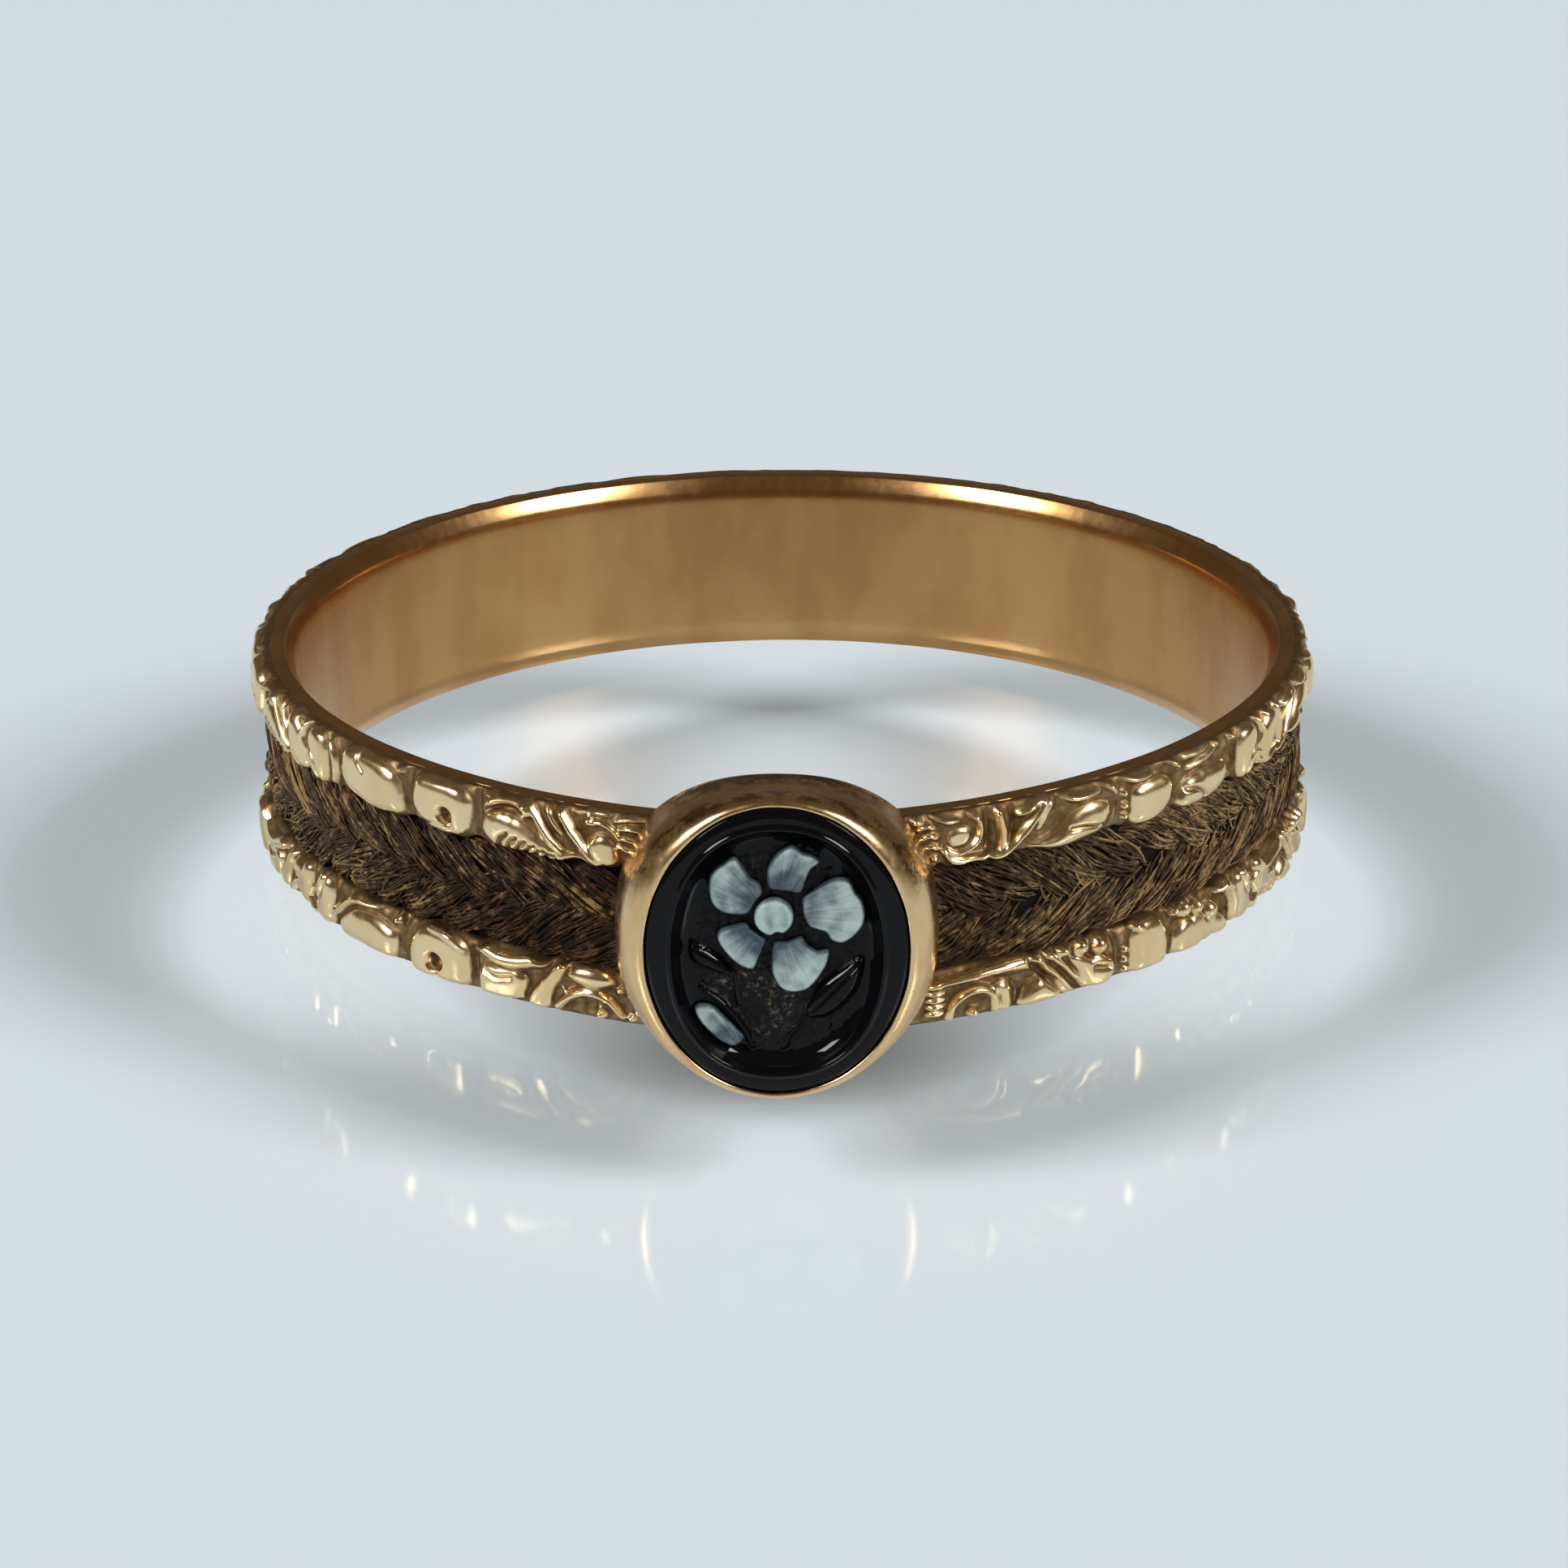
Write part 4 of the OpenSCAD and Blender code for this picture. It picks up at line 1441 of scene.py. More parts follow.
@dataclass
class SolderSeams:
    """The run of solder in the four corners where the borders meet the bezel."""

    sizes: BandSizes
    bezel: Bezel
    half: float = 0.027
    seam_r: float = 9.39
    end_gap: float = 0.02
    wall_gap: float = 0.01
    sides: int = 10
    steps: int = 40

    def seam(self, side: Side, edge: Edge) -> tuple[np.ndarray, np.ndarray]:
        """One seam along the bezel's foot.

        Args:
            side: The side of the bezel that it runs down.
            edge: The border that it joins to the bezel.

        Returns:
            Places along its middle line, and its half width at each.
        """
        foot = self.bezel.wall[1]
        lowest, highest = self.sizes.channel_half + self.end_gap, self.sizes.half_width - self.end_gap
        up = np.linspace(lowest, highest, self.steps)
        reach = (1 - (up / foot.half_height) ** foot.square) ** (1 / foot.square)
        x = self.bezel.centre[0] + side.value * (foot.half_width * reach + self.wall_gap)
        radius = self.seam_r + 0.02 * ripple(up * 9, (0.6, 1.3, 2.1), 31)
        line = np.stack([x, -np.sqrt(radius ** 2 - x ** 2), edge.value * up], axis=-1)
        run = np.linspace(0, 1, self.steps)
        half = self.half * (0.3 + 0.8 * np.sin(math.pi * run) + 0.1 * ripple(up * 12, (0.7, 1.1, 1.9), 37))
        return line, half

    def tube(self, line: np.ndarray, half: np.ndarray) -> np.ndarray:
        """Rings of places round a line.

        Args:
            line: Places along the middle.
            half: Half width of the tube at each.

        Returns:
            Places of all the rings in turn.
        """
        along = np.gradient(line, axis=0)
        along /= np.linalg.norm(along, axis=1)[:, None]
        out = line * (1, 1, 0)
        out /= np.linalg.norm(out, axis=1)[:, None]
        cross = np.cross(along, out)
        turns = full_turn(self.sides)[None, :, None]
        spokes = np.cos(turns) * out[:, None] + np.sin(turns) * cross[:, None]
        return (line[:, None] + half[:, None, None] * spokes).reshape(-1, 3)

    def build(self) -> None:
        """Sweeps the four seams into one piece."""
        points, faces = [], []
        for number, (side, edge) in enumerate(product(Side, Edge)):
            line, half = self.seam(side, edge)
            points += [self.tube(line, half), line[:1], line[-1:]]
            start = number * (self.steps * self.sides + 2)
            faces += capped_faces(self.steps, self.sides, first_cap=0, last_cap=1, start=start)
        piece = make_piece("solder_seams", self.sizes.sag(np.concatenate(points)), faces, SOLDER_GOLD)
        settle(piece, Slot.GOLD, "band")


# Hair


@dataclass
class HairBed:
    """The dark hair below the strands that show, drawn near-black: dark hair and painted shade under the
    strands.
    """

    sizes: BandSizes
    around: int = 360
    columns: int = 13
    gap: float = 0.02
    top_r: float = 9.15
    crown: float = 0.04
    bump_r: float = 9.2
    bump: float = 0.015

    def build(self) -> None:
        """Makes the bed as a closed ring in the channel."""
        half = self.sizes.channel_half - self.gap
        low = self.sizes.channel_r + self.gap
        across = np.linspace(-half, half, self.columns)
        top = self.top_r + self.crown * (1 - (across / half) ** 2)
        section = np.concatenate([np.stack([top, across], -1), [[low, half], [low, -half]]])
        turn = full_turn(self.around)
        along, height = np.meshgrid(turn * self.bump_r, section[:, 1], indexing="ij")
        bumps = self.bump * rough_patch(along, height, 2.0, 41)
        radius = section[:, 0] + np.where(section[:, 0] > low, bumps, 0)
        points = self.sizes.sag(round_band(radius, turn, height))
        faces = grid_faces(self.around, len(section), close_rows=True, close_columns=True)[:, ::-1]
        settle(make_piece("hair_bed", points, faces, UNDER_HAIR_AND_SHADE), Slot.HAIR, "hair_braid")


class HairTree(Graph):
    """A Geometry Nodes tree that turns numbered straight curves into hairs."""

    def __init__(self, name: str, seed: int, numbers: Sequence[str]) -> None:
        """Makes the tree and declares its inputs.

        Args:
            name: The tree's name.
            seed: What all its random numbers start from.
            numbers: Names of its inputs that are plain numbers.
        """
        super().__init__(bpy.data.node_groups.new(name, "GeometryNodeTree"))
        self.seed = seed
        self.identifiers: dict[str, str] = {}
        declare = self.tree.interface.new_socket
        declare(name="Geometry", in_out="OUTPUT", socket_type="NodeSocketGeometry")
        kinds = {"Geometry": "Geometry", **dict.fromkeys(numbers, "Float")}
        kinds |= {"Hairs": "Int", "Material": "Material"}
        for key, kind in kinds.items():
            socket = declare(name=key, in_out="INPUT", socket_type=f"NodeSocket{kind}")
            self.identifiers[key] = socket.identifier
        self.given = self.add("NodeGroupInput")

    def chance(self, low: float, high: float, number: Signal, offset: int) -> Signal:
        """A random number that stays the same for the same hair or lock."""
        sockets = {2: low, 3: high, "ID": number, "Seed": self.seed * 100 + offset}
        return self.add("FunctionNodeRandomValue", {"data_type": "FLOAT"}, sockets, output=1)

    def stored(self, geometry: Signal, name: str, value: Signal) -> Signal:
        """The geometry with a number stored on each of its points."""
        sockets = {"Geometry": geometry, "Name": name, "Value": value}
        return self.add("GeometryNodeStoreNamedAttribute", {"data_type": "FLOAT", "domain": "POINT"}, sockets)

    def straight_hairs(self, knots: int) -> Signal:
        """Straight curves that carry their own numbers.

        Args:
            knots: Points along each curve.

        Returns:
            One curve for each hair, with the hair's number on its points.
        """
        points = self.add("GeometryNodeMeshLine", {"mode": "OFFSET"}, {"Count": self.given.out("Hairs")})
        points = self.stored(points, "number", self.add("GeometryNodeInputIndex"))
        line = self.add("GeometryNodeCurvePrimitiveLine")
        line = self.add("GeometryNodeResampleCurve", None, {"Curve": line, "Count": knots})
        placed = self.add("GeometryNodeInstanceOnPoints", None, {"Points": points, "Instance": line})
        return self.add("GeometryNodeRealizeInstances", None, {"Geometry": placed})

    def finish(self, hairs: Signal, places: Signal, sides: int) -> None:
        """Moves the hairs, gives them their width and material, and ends the tree.

        Args:
            hairs: The straight curves.
            places: Where each of their points goes.
            sides: Number of sides of a hair.
        """
        hairs = self.add("GeometryNodeSetPosition", None, {"Geometry": hairs, "Position": places})
        round_size = {"Resolution": sides, "Radius": self.given.out("Hair Half Width")}
        profile = self.add("GeometryNodeCurvePrimitiveCircle", None, round_size)
        sweep = {"Curve": hairs, "Profile Curve": profile, "Fill Caps": True}
        body = self.add("GeometryNodeCurveToMesh", None, sweep)
        body = self.add("GeometryNodeRealizeInstances", None, {"Geometry": body})
        dressed = {"Geometry": body, "Material": self.given.out("Material")}
        self.add("NodeGroupOutput", None, {"Geometry": self.add("GeometryNodeSetMaterial", None, dressed)})


@dataclass
class Plait:
    """Locks of hair that lie side by side along one half of the band, made by Geometry Nodes.

    Every hair is a curve. Its number gives its lock and its place in the lock, and the tree bends the
    flat layout, along the band and across it, round the ring.
    """

    sizes: BandSizes
    kind: str
    edge: Edge
    seed: int
    locks: int
    hairs: int
    pitch: float
    start: float
    lock_run: float
    lock_drop: float
    edge_at: float
    lock_half: float
    thick: float
    base_r: float = 9.15
    hair_half: float = 0.022
    wander: float = 0.045
    lean: float = 0.3
    slide: float = 0.6
    knots: int = 10
    hair_sides: int = 4

    @property
    def name(self) -> str:
        """The piece's name."""
        return f"{self.kind}_{self.edge.name.lower()}"

    def number_inputs(self) -> dict[str, float]:
        """The tree's named inputs and their values."""
        return {
            "Hairs in a Lock": float(self.hairs), "Pitch": self.pitch, "Start": self.start,
            "Lock Run": self.lock_run, "Lock Drop": self.lock_drop, "Edge": self.edge_at,
            "Side": float(self.edge.value), "Lock Half Width": self.lock_half, "Thickness": self.thick,
            "Base Radius": self.base_r, "Hair Half Width": self.hair_half, "Wander": self.wander,
            "Lean": self.lean, "Slide": self.slide,
        }

    @staticmethod
    def layout(tree: HairTree, number: Signal, lock: Signal) -> tuple[Signal, Signal, Signal]:
        """Where each point of a hair lies in the flat layout.

        Args:
            tree: The plait's tree.
            number: The hair's number.
            lock: Its lock's number.

        Returns:
            Distance along the band, distance across it and rise above the base radius.
        """
        given, chance = tree.given, tree.chance
        in_lock = given.out("Hairs in a Lock")
        place = (number - lock * in_lock + chance(0.0, 1.0, number, 1)) / in_lock * 2.0 - 1.0
        layer = chance(0.0, 1.0, number, 2)
        lean = chance(-1.0, 1.0, lock, 3) * given.out("Lean")
        spread = chance(0.75, 1.3, lock, 4)
        slide = chance(-0.5, 0.5, lock, 5) * given.out("Slide")
        step = tree.add("GeometryNodeSplineParameter", output="Factor")
        swell = (step * math.pi).sine()
        run, drop = given.out("Lock Run"), given.out("Lock Drop")
        slant = (run * run + drop * drop).root()
        half = given.out("Lock Half Width") * spread * (0.4 + 0.6 * swell)
        wave = (step * chance(5.0, 11.0, number, 6) + chance(0.0, 6.3, number, 7)).sine()
        wave = wave * given.out("Wander")
        drift = (step - 0.5) * chance(-1.0, 1.0, number, 8) * given.out("Wander") * 6.0
        cross = place * half + wave + drift
        turn_in = step - (step * (2 * math.pi)).sine() * 0.07
        along = given.out("Start") + given.out("Pitch") * (lock + slide) + run * step + cross * drop / slant
        drawn_in = given.out("Edge") - lean * 0.2 - drop * (1.0 - lean) * turn_in
        crown = (1.0 - place * place * 0.8).root() * swell ** 0.6
        sink = (step * 2.0 - 1.0) ** 4.0 * 0.09
        rise = given.out("Thickness") * crown * (0.35 + 0.65 * layer) - sink
        return along, given.out("Side") * (drawn_in + cross * run / slant), rise

    @staticmethod
    def wear(angle: Signal) -> Signal:
        """How much paler the hair is drawn: more and more away from the bezel, and soonest on the right."""
        worn = (1.0 - angle.cosine() + angle.sine() * 0.1).between(0.02, 0.45)
        return worn.math("MAXIMUM", worn, angle.sine().between(0.0, 0.6) * 0.9)

    def make_tree(self) -> HairTree:
        """Builds the tree that makes the locks.

        Returns:
            The finished tree.
        """
        tree = HairTree(f"{self.name}_tree", self.seed, list(self.number_inputs()))
        hairs = tree.straight_hairs(self.knots)
        number = tree.add("GeometryNodeInputNamedAttribute", {"data_type": "FLOAT"}, {"Name": "number"})
        lock = (number / tree.given.out("Hairs in a Lock") + 0.0001).floor()
        along, across, rise = self.layout(tree, number, lock)
        radius = tree.given.out("Base Radius") + rise + tree.chance(-0.03, 0.03, lock, 9)
        angle = along / self.sizes.hair_r
        hairs = tree.stored(hairs, "strand", tree.chance(0.0, 1.0, number, 10))
        hairs = tree.stored(hairs, "lock", tree.chance(0.0, 1.0, lock, 11))
        hairs = tree.stored(hairs, "worn", self.wear(angle))
        wrapped = tree.vector(radius * angle.sine(), radius * angle.cosine() * -1.0, across)
        tree.finish(hairs, wrapped, self.hair_sides)
        return tree

    def build(self, material: bpy.types.Material) -> None:
        """Runs the tree and keeps its result as a plain mesh.

        Args:
            material: The hair's material.
        """
        tree = self.make_tree()
        holder = bpy.data.objects.new(f"{self.name}_holder", bpy.data.meshes.new(f"{self.name}_seed"))
        bpy.context.scene.collection.objects.link(holder)
        modifier = holder.modifiers.new("plait", "NODES")
        modifier.node_group = tree.tree
        values = {**self.number_inputs(), "Hairs": self.locks * self.hairs, "Material": material}
        for name, value in values.items():
            modifier[tree.identifiers[name]] = value
        bpy.context.view_layer.update()
        shown = holder.evaluated_get(bpy.context.evaluated_depsgraph_get())
        mesh = bpy.data.meshes.new_from_object(shown)
        holder.modifiers.remove(modifier)
        bpy.data.objects.remove(holder)
        mesh.name = self.name
        places = np.empty(len(mesh.vertices) * 3)
        mesh.vertices.foreach_get("co", places)
        mesh.vertices.foreach_set("co", POSE.lay(self.sizes.sag(places.reshape(-1, 3))).ravel())
        mesh.shade_smooth()
        mesh.update()
        piece = bpy.data.objects.new(self.name, mesh)
        bpy.context.scene.collection.objects.link(piece)
        settle(piece, Slot.HAIR, "hair_braid")


@dataclass
class HairWork:
    """All of the hair: the bed, the two halves of the plait and the loose hairs on them.

    The locks of the lower half lie a little further round than those of the upper half.
    """

    sizes: BandSizes
    pitch: float = 0.74
    start: float = 1.2
    lower_shift: float = 0.37
    bezel_room: float = 4.0

    def build(self) -> None:
        """Lays the bed, then the locks from the bezel round to the bezel."""
        HairBed(self.sizes).build()
        material = PLAIT_HAIR.material()
        locks = int((2 * math.pi * self.sizes.hair_r - self.bezel_room) / self.pitch)
        starts = {Edge.UPPER: self.start, Edge.LOWER: self.start + self.lower_shift}
        for edge, seed in ((Edge.UPPER, 3), (Edge.LOWER, 5)):
            Plait(self.sizes, "plait", edge, seed, locks=locks, hairs=30, pitch=self.pitch,
                  start=starts[edge], lock_run=1.75, lock_drop=0.86, edge_at=0.87, lock_half=0.26,
                  thick=0.17).build(material)
        for edge, seed in ((Edge.UPPER, 7), (Edge.LOWER, 9)):
            Plait(self.sizes, "loose", edge, seed, locks=420, hairs=1, pitch=0.124, start=1.6, lock_run=1.0,
                  lock_drop=0.6, edge_at=0.72, lock_half=0.2, thick=0.05, base_r=self.sizes.hair_r,
                  hair_half=0.019, wander=0.05, lean=0.8, slide=2.0, knots=9).build(material)


# Stone


@dataclass
class Stone(OvalBody):
    """The black oval: a polished rim with a fine raised line inside it, round a sunk and stippled ground."""

    around: int = 320
    floor_front: float = 10.35
    floor_rings: int = 62
    stipple_low: float = -0.02
    leaf_top: float = 0.2
    wall: tuple[OvalRing, ...] = oval_rings(
        (9.8, 2.04, 2.41), (10.2, 2.06, 2.43), (10.5, 2.06, 2.43),
        (10.56, 2.05, 2.42), (10.59, 2.02, 2.39), (10.61, 1.97, 2.34),
        (10.624, 1.9, 2.28, 2.03), (10.632, 1.83, 2.222, 2.08), (10.636, 1.78, 2.185, 2.14),
        (10.64, 1.742, 2.155, 2.18), (10.648, 1.728, 2.142, 2.19), (10.655, 1.718, 2.132, 2.2),
        (10.667, 1.706, 2.12, 2.2), (10.676, 1.69, 2.104, 2.2), (10.678, 1.676, 2.09, 2.2),
        (10.672, 1.66, 2.074, 2.2), (10.658, 1.648, 2.062, 2.2), (10.635, 1.638, 2.052, 2.2),
        (10.605, 1.625, 2.04, 2.2), (10.56, 1.6, 2.02, 2.2), (10.5, 1.565, 1.985, 2.2),
        (10.45, 1.53, 1.95, 2.2), (10.41, 1.49, 1.91, 2.2), (10.375, 1.44, 1.86, 2.2),
        (10.358, 1.39, 1.81, 2.2),
    )
    leaves: tuple[Stroke, ...] = (
        Lobe([(0.44, -1.16), (0.6, -0.72), (0.92, -0.42), (1.36, -0.16), (1.3, -0.62), (1.06, -0.98),
              (0.74, -1.2)], 0.1, 0.16, 0.05),
        Groove([(0.5, -1.1), (0.85, -0.72), (1.28, -0.26)], 0.03, 0.05),
        Lobe([(-1.52, 0.16), (-1.2, 0.06), (-0.9, -0.14), (-0.66, -0.46), (-1.0, -0.4), (-1.34, -0.2)],
             0.1, 0.12, 0.04),
        Ridge([(-0.66, -0.42), (-0.62, -0.75), (-0.6, -0.98)], 0.06, 0.08),
        Ridge([(-1.2, -0.66), (-0.92, -0.86), (-0.68, -1.12), (-0.5, -1.4), (-0.38, -1.72)], 0.06, 0.15, 0.5),
        Ridge([(0.42, -1.2), (0.2, -1.5), (0.04, -1.85)], 0.04, 0.06),
    )

    def loft(self, turns: np.ndarray) -> list[np.ndarray]:
        """The rows of the stone.

        Args:
            turns: Angle of each place in a row.

        Returns:
            Rows of places from the back over the rim to the middle of the ground.
        """
        last = self.wall[-1]
        floor = [OvalRing(self.floor_front, last.half_width * share, last.half_height * share, last.square)
                 for share in np.linspace(1, 0, self.floor_rings + 1)[1:-1]]
        return [ring.points(turns, self.centre) for ring in (*self.wall, *floor)]

    def leaf_relief(self, x: np.ndarray, z: np.ndarray) -> np.ndarray:
        """Height of the black leaves and stems.

        Args:
            x: Distance of each place to the right of the oval's middle.
            z: Distance of each place above it.

        Returns:
            Height above the ground at each place.
        """
        relief = np.zeros_like(x)
        for leaf in self.leaves:
            relief = leaf.carve(x, z, relief)
        return relief

    def build(self) -> None:
        """Makes the stone as one closed body, with the black leaves in its ground."""
        turns = full_turn(self.around)
        rows = self.loft(turns)
        points = np.concatenate([*rows, self.middle(self.floor_front)])
        x, z = points[:, 0] - self.centre[0], points[:, 2] - self.centre[1]
        ground_edge = self.wall[-1].points(turns, (0, 0))[::6, ::2]
        inside = depth_inside(x, z, ground_edge)
        onto = soft_step((inside + 0.02) / 0.12)
        relief = self.leaf_relief(x, z)
        bare = 1 - soft_step(relief / 0.05)
        stipple = 0.012 * rough_patch(x, z, 5.0, 51, 20) + 0.008 * rough_patch(x, z, 9.0, 53, 20)
        points[:, 1] -= np.clip(relief + stipple * bare, self.stipple_low, self.leaf_top) * onto
        ground = onto * bare * soft_step((inside - 0.05) / 0.2)
        dusty = ground * (0.25 + 0.75 * soft_step((0.15 - z) / 0.6))
        points = np.concatenate([points, self.middle(self.wall[0].front)])
        carried = {"ground": np.append(ground, 0.0), "dusty": np.append(dusty, 0.0)}
        faces = capped_faces(len(rows), self.around, first_cap=1, last_cap=0)
        settle(make_piece("onyx_stone", points, faces, ONYX, carried), Slot.ONYX, "stone")


@dataclass
class PaleIsland:
    """One island of the pale layer: a petal, the eye or the leaf, with a dished and streaked top.

    The root is the place of the front view that its streaks run out from.
    """

    name: str
    node: str
    outline: Path
    root: tuple[float, float]
    paleness: float
    seed: int
    thick: float = 0.17
    dish: float = 0.06
    streaks: float = 26.0
    blotch: float = 0.12
    foot_front: float = 10.37
    rings: int = 18
    edge_shares: tuple[float, ...] = (1.0, 0.985, 0.96, 0.92)

    def edge(self) -> np.ndarray:
        """The smooth outline, wound so that the faces turn outwards.

        Returns:
            Places of the front view, one a row.
        """
        edge = smooth_path(self.outline, closed=True, steps=7)
        area = np.cross(edge, np.roll(edge, -1, axis=0)).sum()
        return edge[::-1] if area < 0 else edge

    def top(self, flat: np.ndarray, edge: np.ndarray) -> tuple[np.ndarray, np.ndarray]:
        """Shape and colour of the top.

        Args:
            flat: Places of the front view, one a row.
            edge: The closed outline.

        Returns:
            The height at each place, and how thick the pale layer looks there, from 0 to 1.
        """
        inside = np.maximum(depth_inside(flat[:, 0], flat[:, 1], edge), 0)
        away = flat - np.array(self.root)
        reach = np.hypot(*away.T)
        far = soft_step((reach - reach.min()) / max(float(np.ptp(reach)), 1e-6))
        turn = np.arctan2(away[:, 1], away[:, 0])
        streak = ripple(turn * self.streaks, (1.0, 1.7, 2.9, 4.3), self.seed)
        rim = np.exp(-(inside / 0.07) ** 2)
        top = self.thick - self.dish * (1 - rim) * (1 - 0.75 * far) - 0.03 * (1 - far)
        top += 0.006 * streak * soft_step(inside / 0.05)
        layer = self.paleness * 0.6 + 0.42 * far + 0.3 * rim * far + 0.12 * streak - 0.1
        layer += self.blotch * rough_patch(flat[:, 0], flat[:, 1], 2.6, self.seed)
        layer = np.clip(layer * (0.15 + 0.85 * soft_step((inside + 0.01) / 0.075)), 0, 1)
        return top * (0.3 + 0.7 * dome(inside / 0.06)), layer

    def stand(self, flat: np.ndarray, height: np.ndarray | float = 0.0) -> np.ndarray:
        """Places of the front view at a height above the island's foot."""
        front = np.broadcast_to(self.foot_front + height, len(flat))
        return np.stack([flat[:, 0], -front, flat[:, 1]], axis=-1)

    def build(self) -> None:
        """Makes the island as a closed body that stands on the ground."""
        edge = self.edge()
        centre = edge.mean(axis=0)
        shares = np.concatenate([self.edge_shares, np.linspace(0.88, 0.0, self.rings)[:-1]])
        flat = centre + (edge[None] - centre) * shares[:, None, None]
        flat = np.concatenate([flat.reshape(-1, 2), [centre]])
        height, layer = self.top(flat, edge)
        points = np.concatenate([self.stand(edge), self.stand(flat, height), self.stand(centre[None])])
        layer = np.concatenate([layer[:len(edge)], layer, [0.0]])
        faces = capped_faces(len(shares) + 1, len(edge), first_cap=1, last_cap=0)
        piece = make_piece(self.name, points, faces, PALE_BLUE, {"layer": layer})
        settle(piece, Slot.PALE_LAYER, self.node)


@dataclass
class Flower:
    """The pale flower and the leaf below it. Each outline is measured from the middle of the front.

    A petal's number is its paleness.
    """

    petals: tuple[tuple[Path, float], ...] = (
        (((-1.15, 1.09), (-1.11, 1.31), (-0.95, 1.46), (-0.76, 1.56), (-0.63, 1.42), (-0.5, 1.21),
          (-0.36, 1.11), (-0.33, 0.96), (-0.43, 0.83), (-0.56, 0.63), (-0.8, 0.62), (-0.98, 0.68),
          (-1.11, 0.83)), 0.53),
        (((-0.25, 1.3), (-0.16, 1.53), (0.0, 1.7), (0.16, 1.76), (0.31, 1.65), (0.46, 1.6), (0.56, 1.5),
          (0.42, 1.36), (0.35, 1.18), (0.27, 0.98), (0.09, 1.0), (-0.06, 1.02), (-0.21, 1.06)), 0.44),
        (((0.31, 0.88), (0.48, 1.01), (0.68, 1.15), (0.87, 1.21), (1.04, 1.16), (1.11, 1.0), (1.22, 0.85),
          (1.27, 0.64), (1.23, 0.43), (1.09, 0.24), (0.9, 0.13), (0.74, 0.18), (0.66, 0.3), (0.5, 0.36),
          (0.39, 0.42), (0.32, 0.57), (0.3, 0.72)), 0.75),
        (((-0.14, 0.1), (0.06, 0.13), (0.27, 0.21), (0.37, 0.07), (0.53, -0.03), (0.7, -0.02), (0.68, -0.21),
          (0.55, -0.45), (0.37, -0.65), (0.14, -0.7), (-0.06, -0.62), (-0.17, -0.4), (-0.18, -0.14)), 0.68),
        (((-0.58, 0.45), (-0.78, 0.41), (-0.98, 0.34), (-1.02, 0.19), (-0.91, -0.01), (-0.75, -0.19),
          (-0.61, -0.28), (-0.47, -0.3), (-0.39, -0.14), (-0.33, 0.03), (-0.28, 0.17), (-0.38, 0.27),
          (-0.5, 0.36)), 0.34),
    )
    side_leaf: Path = ((-1.4, -0.98), (-1.28, -0.92), (-1.08, -0.97), (-0.93, -1.13), (-0.73, -1.34),
                       (-0.62, -1.48), (-0.76, -1.64), (-0.95, -1.58), (-1.15, -1.41), (-1.32, -1.19))
    leaf_root: tuple[float, float] = (-0.62, -1.72)
    eye: tuple[float, float] = (-0.15, 0.57)
    eye_half: float = 0.31
    notch_at: float = 285.0
    notch_half: float = 9.0
    notch_depth: float = 0.22

    def eye_outline(self) -> Path:
        """A round outline with a small notch at the bottom.

        Returns:
            Places of the front view.
        """
        degrees = np.arange(0, 360, 20)
        notch = 1 - self.notch_depth * np.exp(-((degrees - self.notch_at) / self.notch_half) ** 2)
        return [(self.eye[0] + self.eye_half * share * math.cos(turn),
                 self.eye[1] + self.eye_half * share * math.sin(turn))
                for turn, share in zip(np.radians(degrees), notch)]

    def build(self) -> None:
        """Makes the five petals, the eye and the leaf."""
        for number, (outline, paleness) in enumerate(self.petals, start=1):
            PaleIsland(f"carved_petal_{number}", f"petal_{number}", outline, self.eye, paleness,
                       seed=60 + number).build()
        PaleIsland("carved_eye", "flower_eye", self.eye_outline(), self.eye, paleness=0.8, seed=75,
                   dish=-0.03, streaks=0.0, blotch=0.24).build()
        PaleIsland("carved_side_leaf", "side_leaf", self.side_leaf, self.leaf_root, paleness=0.45, seed=73,
                   dish=0.02, streaks=9.0, blotch=0.1).build()


# Studio


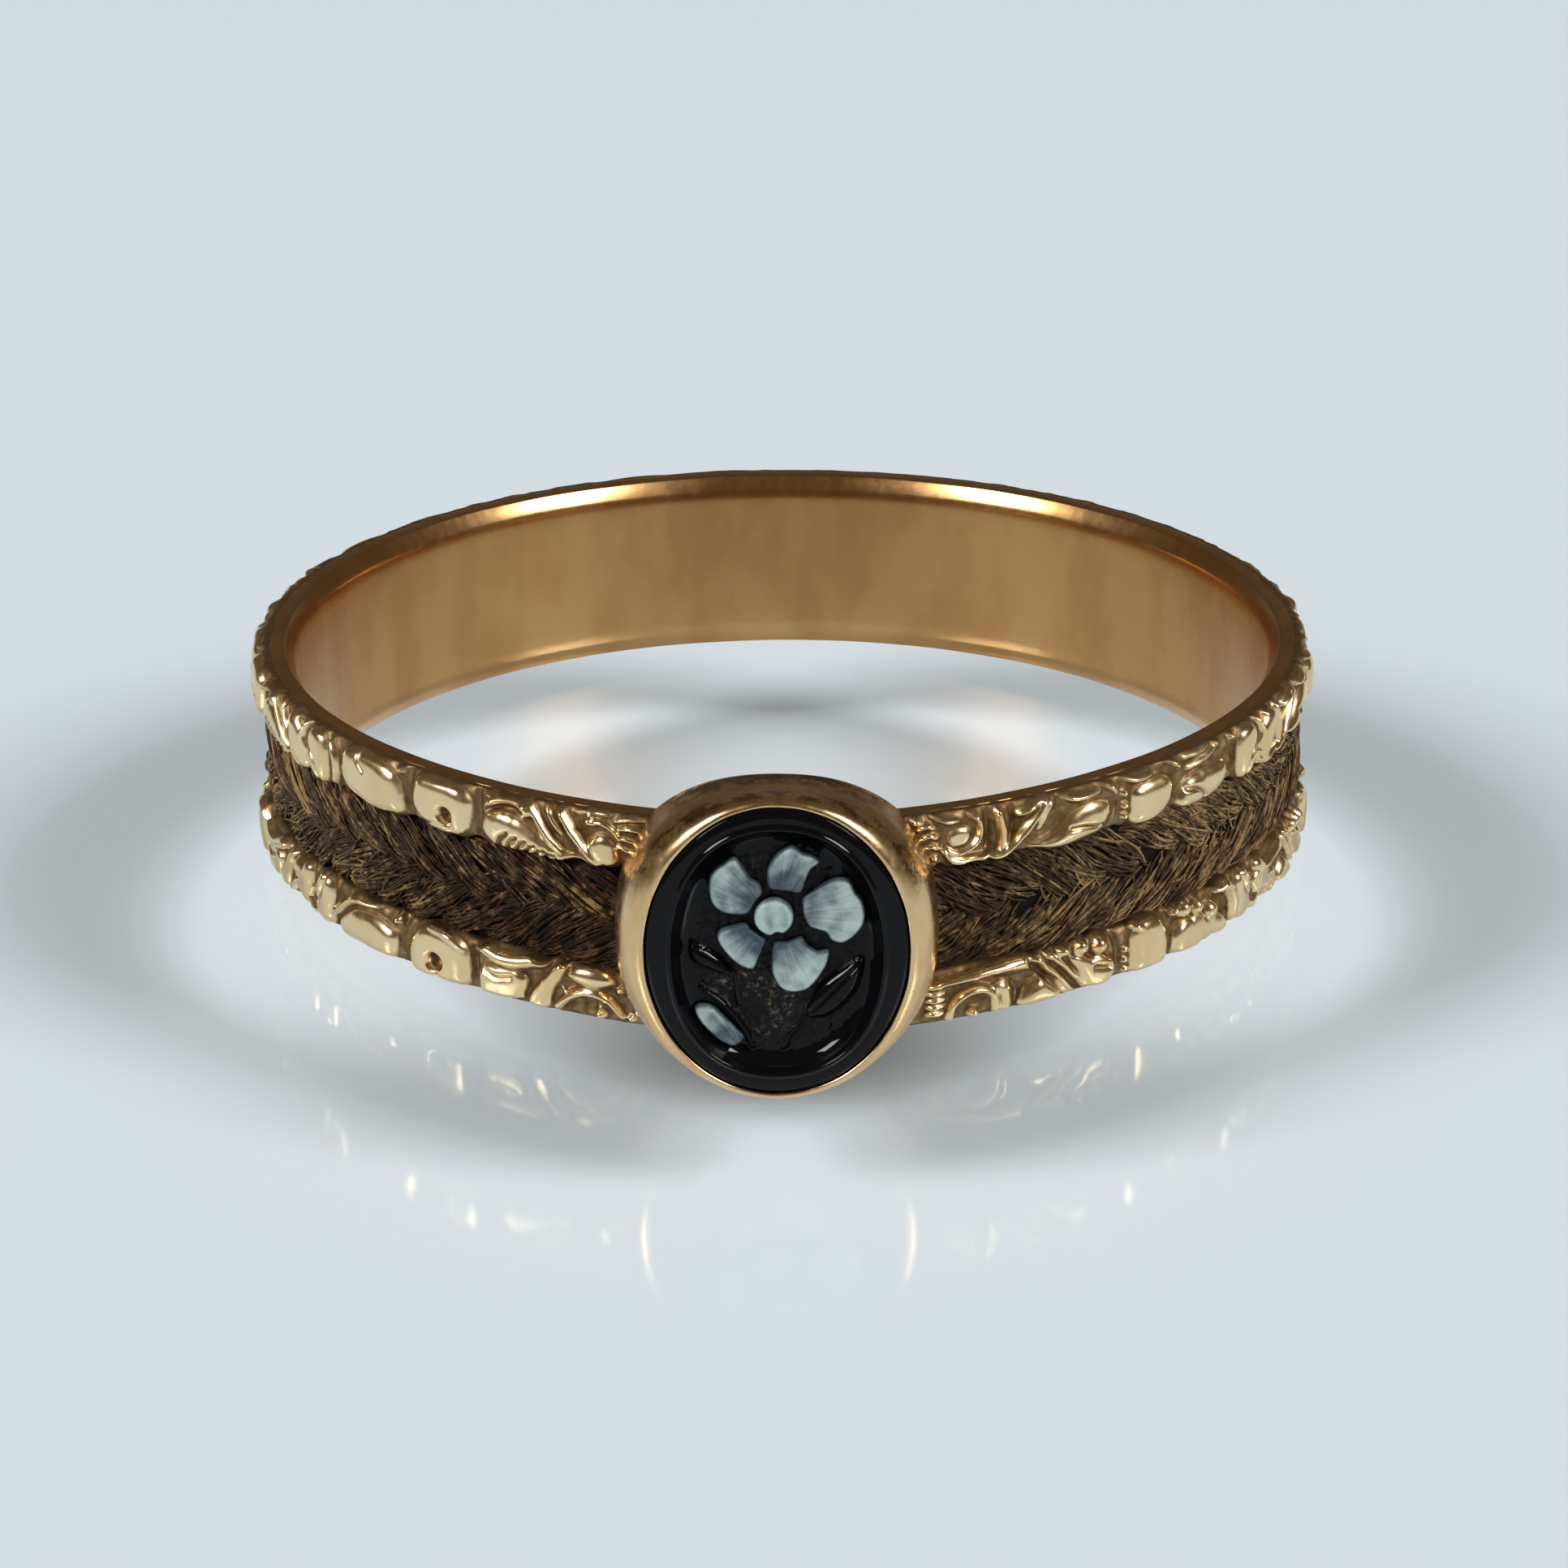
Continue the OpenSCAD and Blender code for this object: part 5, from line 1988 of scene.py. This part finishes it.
@dataclass
class Studio:
    """The camera, the pale glossy surface and the lights.

    Lengths are in metres, apart from the lens, the sensor and camera_away, which are in millimetres.
    """

    pose: RestPose
    lens: float = 83.91
    sensor: float = 36.0
    camera_away: float = 66.513
    camera_up_deg: float = 20.737
    pitch_deg: float = -1.126
    yaw_deg: float = 0.02
    roll_deg: float = -0.269
    clip_near: float = 0.004
    clip_far: float = 20.0
    floor_half: float = 0.5
    board_colour: Colour = (0.662, 0.729, 0.791, 1)
    board_glow: Colour = (0.67, 0.94, 1.0, 1)
    board_glow_power: float = 0.09
    sheet_depth: float = 0.002
    sheet_colour: Colour = (0.9, 0.95, 1.0, 1)
    sheet_gloss: float = 0.062
    sheet_dullness: float = 0.08
    light_away: float = 4.0
    light_size: float = 1.25
    light_power: float = 118.75
    light_towards: tuple[float, float, float] = (0.70, -0.38, 0.60)
    room_colour: Colour = (1.0, 0.76, 0.52, 1)
    room_power: float = 0.11

    @staticmethod
    def swing(first: np.ndarray, second: np.ndarray, degrees: float) -> tuple[np.ndarray, np.ndarray]:
        """Turns two axes in their own plane, the first towards the second."""
        c, s = math.cos(math.radians(degrees)), math.sin(math.radians(degrees))
        return c * first + s * second, c * second - s * first

    def camera(self) -> None:
        """Aims the camera at the ring from the front and above."""
        up_angle = math.radians(self.camera_up_deg)
        place = np.array([0, -math.cos(up_angle), math.sin(up_angle)]) * self.camera_away
        ahead = -place / np.linalg.norm(place)
        right = np.array([1.0, 0.0, 0.0])
        up = np.cross(right, ahead)
        ahead, up = self.swing(ahead, up, self.pitch_deg)
        ahead, right = self.swing(ahead, right, self.yaw_deg)
        right, up = self.swing(right, up, self.roll_deg)
        axes = [Vector(self.pose.turn(axis)) for axis in (right, up, -ahead)]
        matrix = Matrix([[axis[k] for axis in axes] for k in range(3)]).to_4x4()
        matrix.translation = Vector(self.pose.lay(place))
        data = bpy.data.cameras.new("camera")
        data.lens, data.sensor_width = self.lens, self.sensor
        data.clip_start, data.clip_end = self.clip_near, self.clip_far
        camera = bpy.data.objects.new("camera", data)
        camera.matrix_world = matrix
        bpy.context.scene.collection.objects.link(camera)
        bpy.context.scene.camera = camera

    def plane(self, name: str, height: float, material: bpy.types.Material) -> None:
        """Lays a square level plane that isn't part of the ring.

        Args:
            name: The plane's name.
            height: How high it lies.
            material: The material that it gets.
        """
        half = self.floor_half
        corners = [(-half, -half, height), (half, -half, height), (half, half, height), (-half, half, height)]
        mesh = bpy.data.meshes.new(name)
        mesh.from_pydata(corners, [], [(0, 1, 2, 3)])
        mesh.materials.append(material)
        plane = bpy.data.objects.new(name, mesh)
        bpy.context.scene.collection.objects.link(plane)

    def floor(self) -> None:
        """Lays a clear glossy sheet over a pale board."""
        board = Shader("pale_board").finish(
            Base_Color=self.board_colour, Roughness=0.9, Specular_IOR_Level=0.0,
            Emission_Color=self.board_glow, Emission_Strength=self.board_glow_power)
        self.plane("floor_board", -self.sheet_depth, board)
        sheet = bpy.data.materials.new("clear_sheet")
        sheet.use_nodes = True
        graph = Graph(sheet.node_tree)
        shine = {"Color": self.sheet_colour, "Roughness": self.sheet_dullness}
        gloss = graph.add("ShaderNodeBsdfGlossy", None, shine)
        clear = graph.add("ShaderNodeBsdfTransparent")
        both = graph.add("ShaderNodeMixShader", None, {0: self.sheet_gloss, 1: clear, 2: gloss})
        graph.add("ShaderNodeOutputMaterial", None, {"Surface": both})
        self.plane("floor_sheet", 0.0, sheet)

    def softbox(self, side: Side) -> None:
        """Hangs a square light at the front that faces the ring.

        Args:
            side: The side that it hangs on.
        """
        name = f"softbox_{side.name.lower()}"
        data = bpy.data.lights.new(name, "AREA")
        data.shape, data.size, data.energy = "SQUARE", self.light_size, self.light_power
        light = bpy.data.objects.new(name, data)
        across, back, up = self.light_towards
        direction = Vector((side.value * across, back, up)).normalized()
        light.location = direction * self.light_away
        light.rotation_euler = direction.to_track_quat("Z", "Y").to_euler()
        bpy.context.scene.collection.objects.link(light)

    def room(self) -> None:
        """Gives the world a dim warm light from all round."""
        world = bpy.data.worlds.new("room")
        world.use_nodes = True
        graph = Graph(world.node_tree)
        light = {"Color": self.room_colour, "Strength": self.room_power}
        graph.add("ShaderNodeOutputWorld", None, {"Surface": graph.add("ShaderNodeBackground", None, light)})
        bpy.context.scene.world = world

    def build(self) -> None:
        """Sets up the camera, the floor, the lights and plain display colours."""
        self.camera()
        self.floor()
        for side in Side:
            self.softbox(side)
        self.room()
        view = bpy.context.scene.view_settings
        view.view_transform = "Standard"
        view.look = "None"


def main() -> None:
    """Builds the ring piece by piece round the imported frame."""
    logging.basicConfig(level=logging.INFO, format="%(name)s: %(message)s")
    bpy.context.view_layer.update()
    Studio(POSE).build()
    sizes = BandSizes()
    Sleeve(sizes).build()
    CarvedBorder(sizes, Edge.UPPER, {Side.LEFT: UPPER_LEFT_RUN, Side.RIGHT: UPPER_RIGHT_RUN}).build()
    CarvedBorder(sizes, Edge.LOWER, {Side.LEFT: LOWER_LEFT_RUN, Side.RIGHT: LOWER_RIGHT_RUN}).build()
    bezel = Bezel()
    bezel.build()
    SolderSeams(sizes, bezel).build()
    HairWork(sizes).build()
    Stone().build()
    Flower().build()


if __name__ == "__main__":
    main()
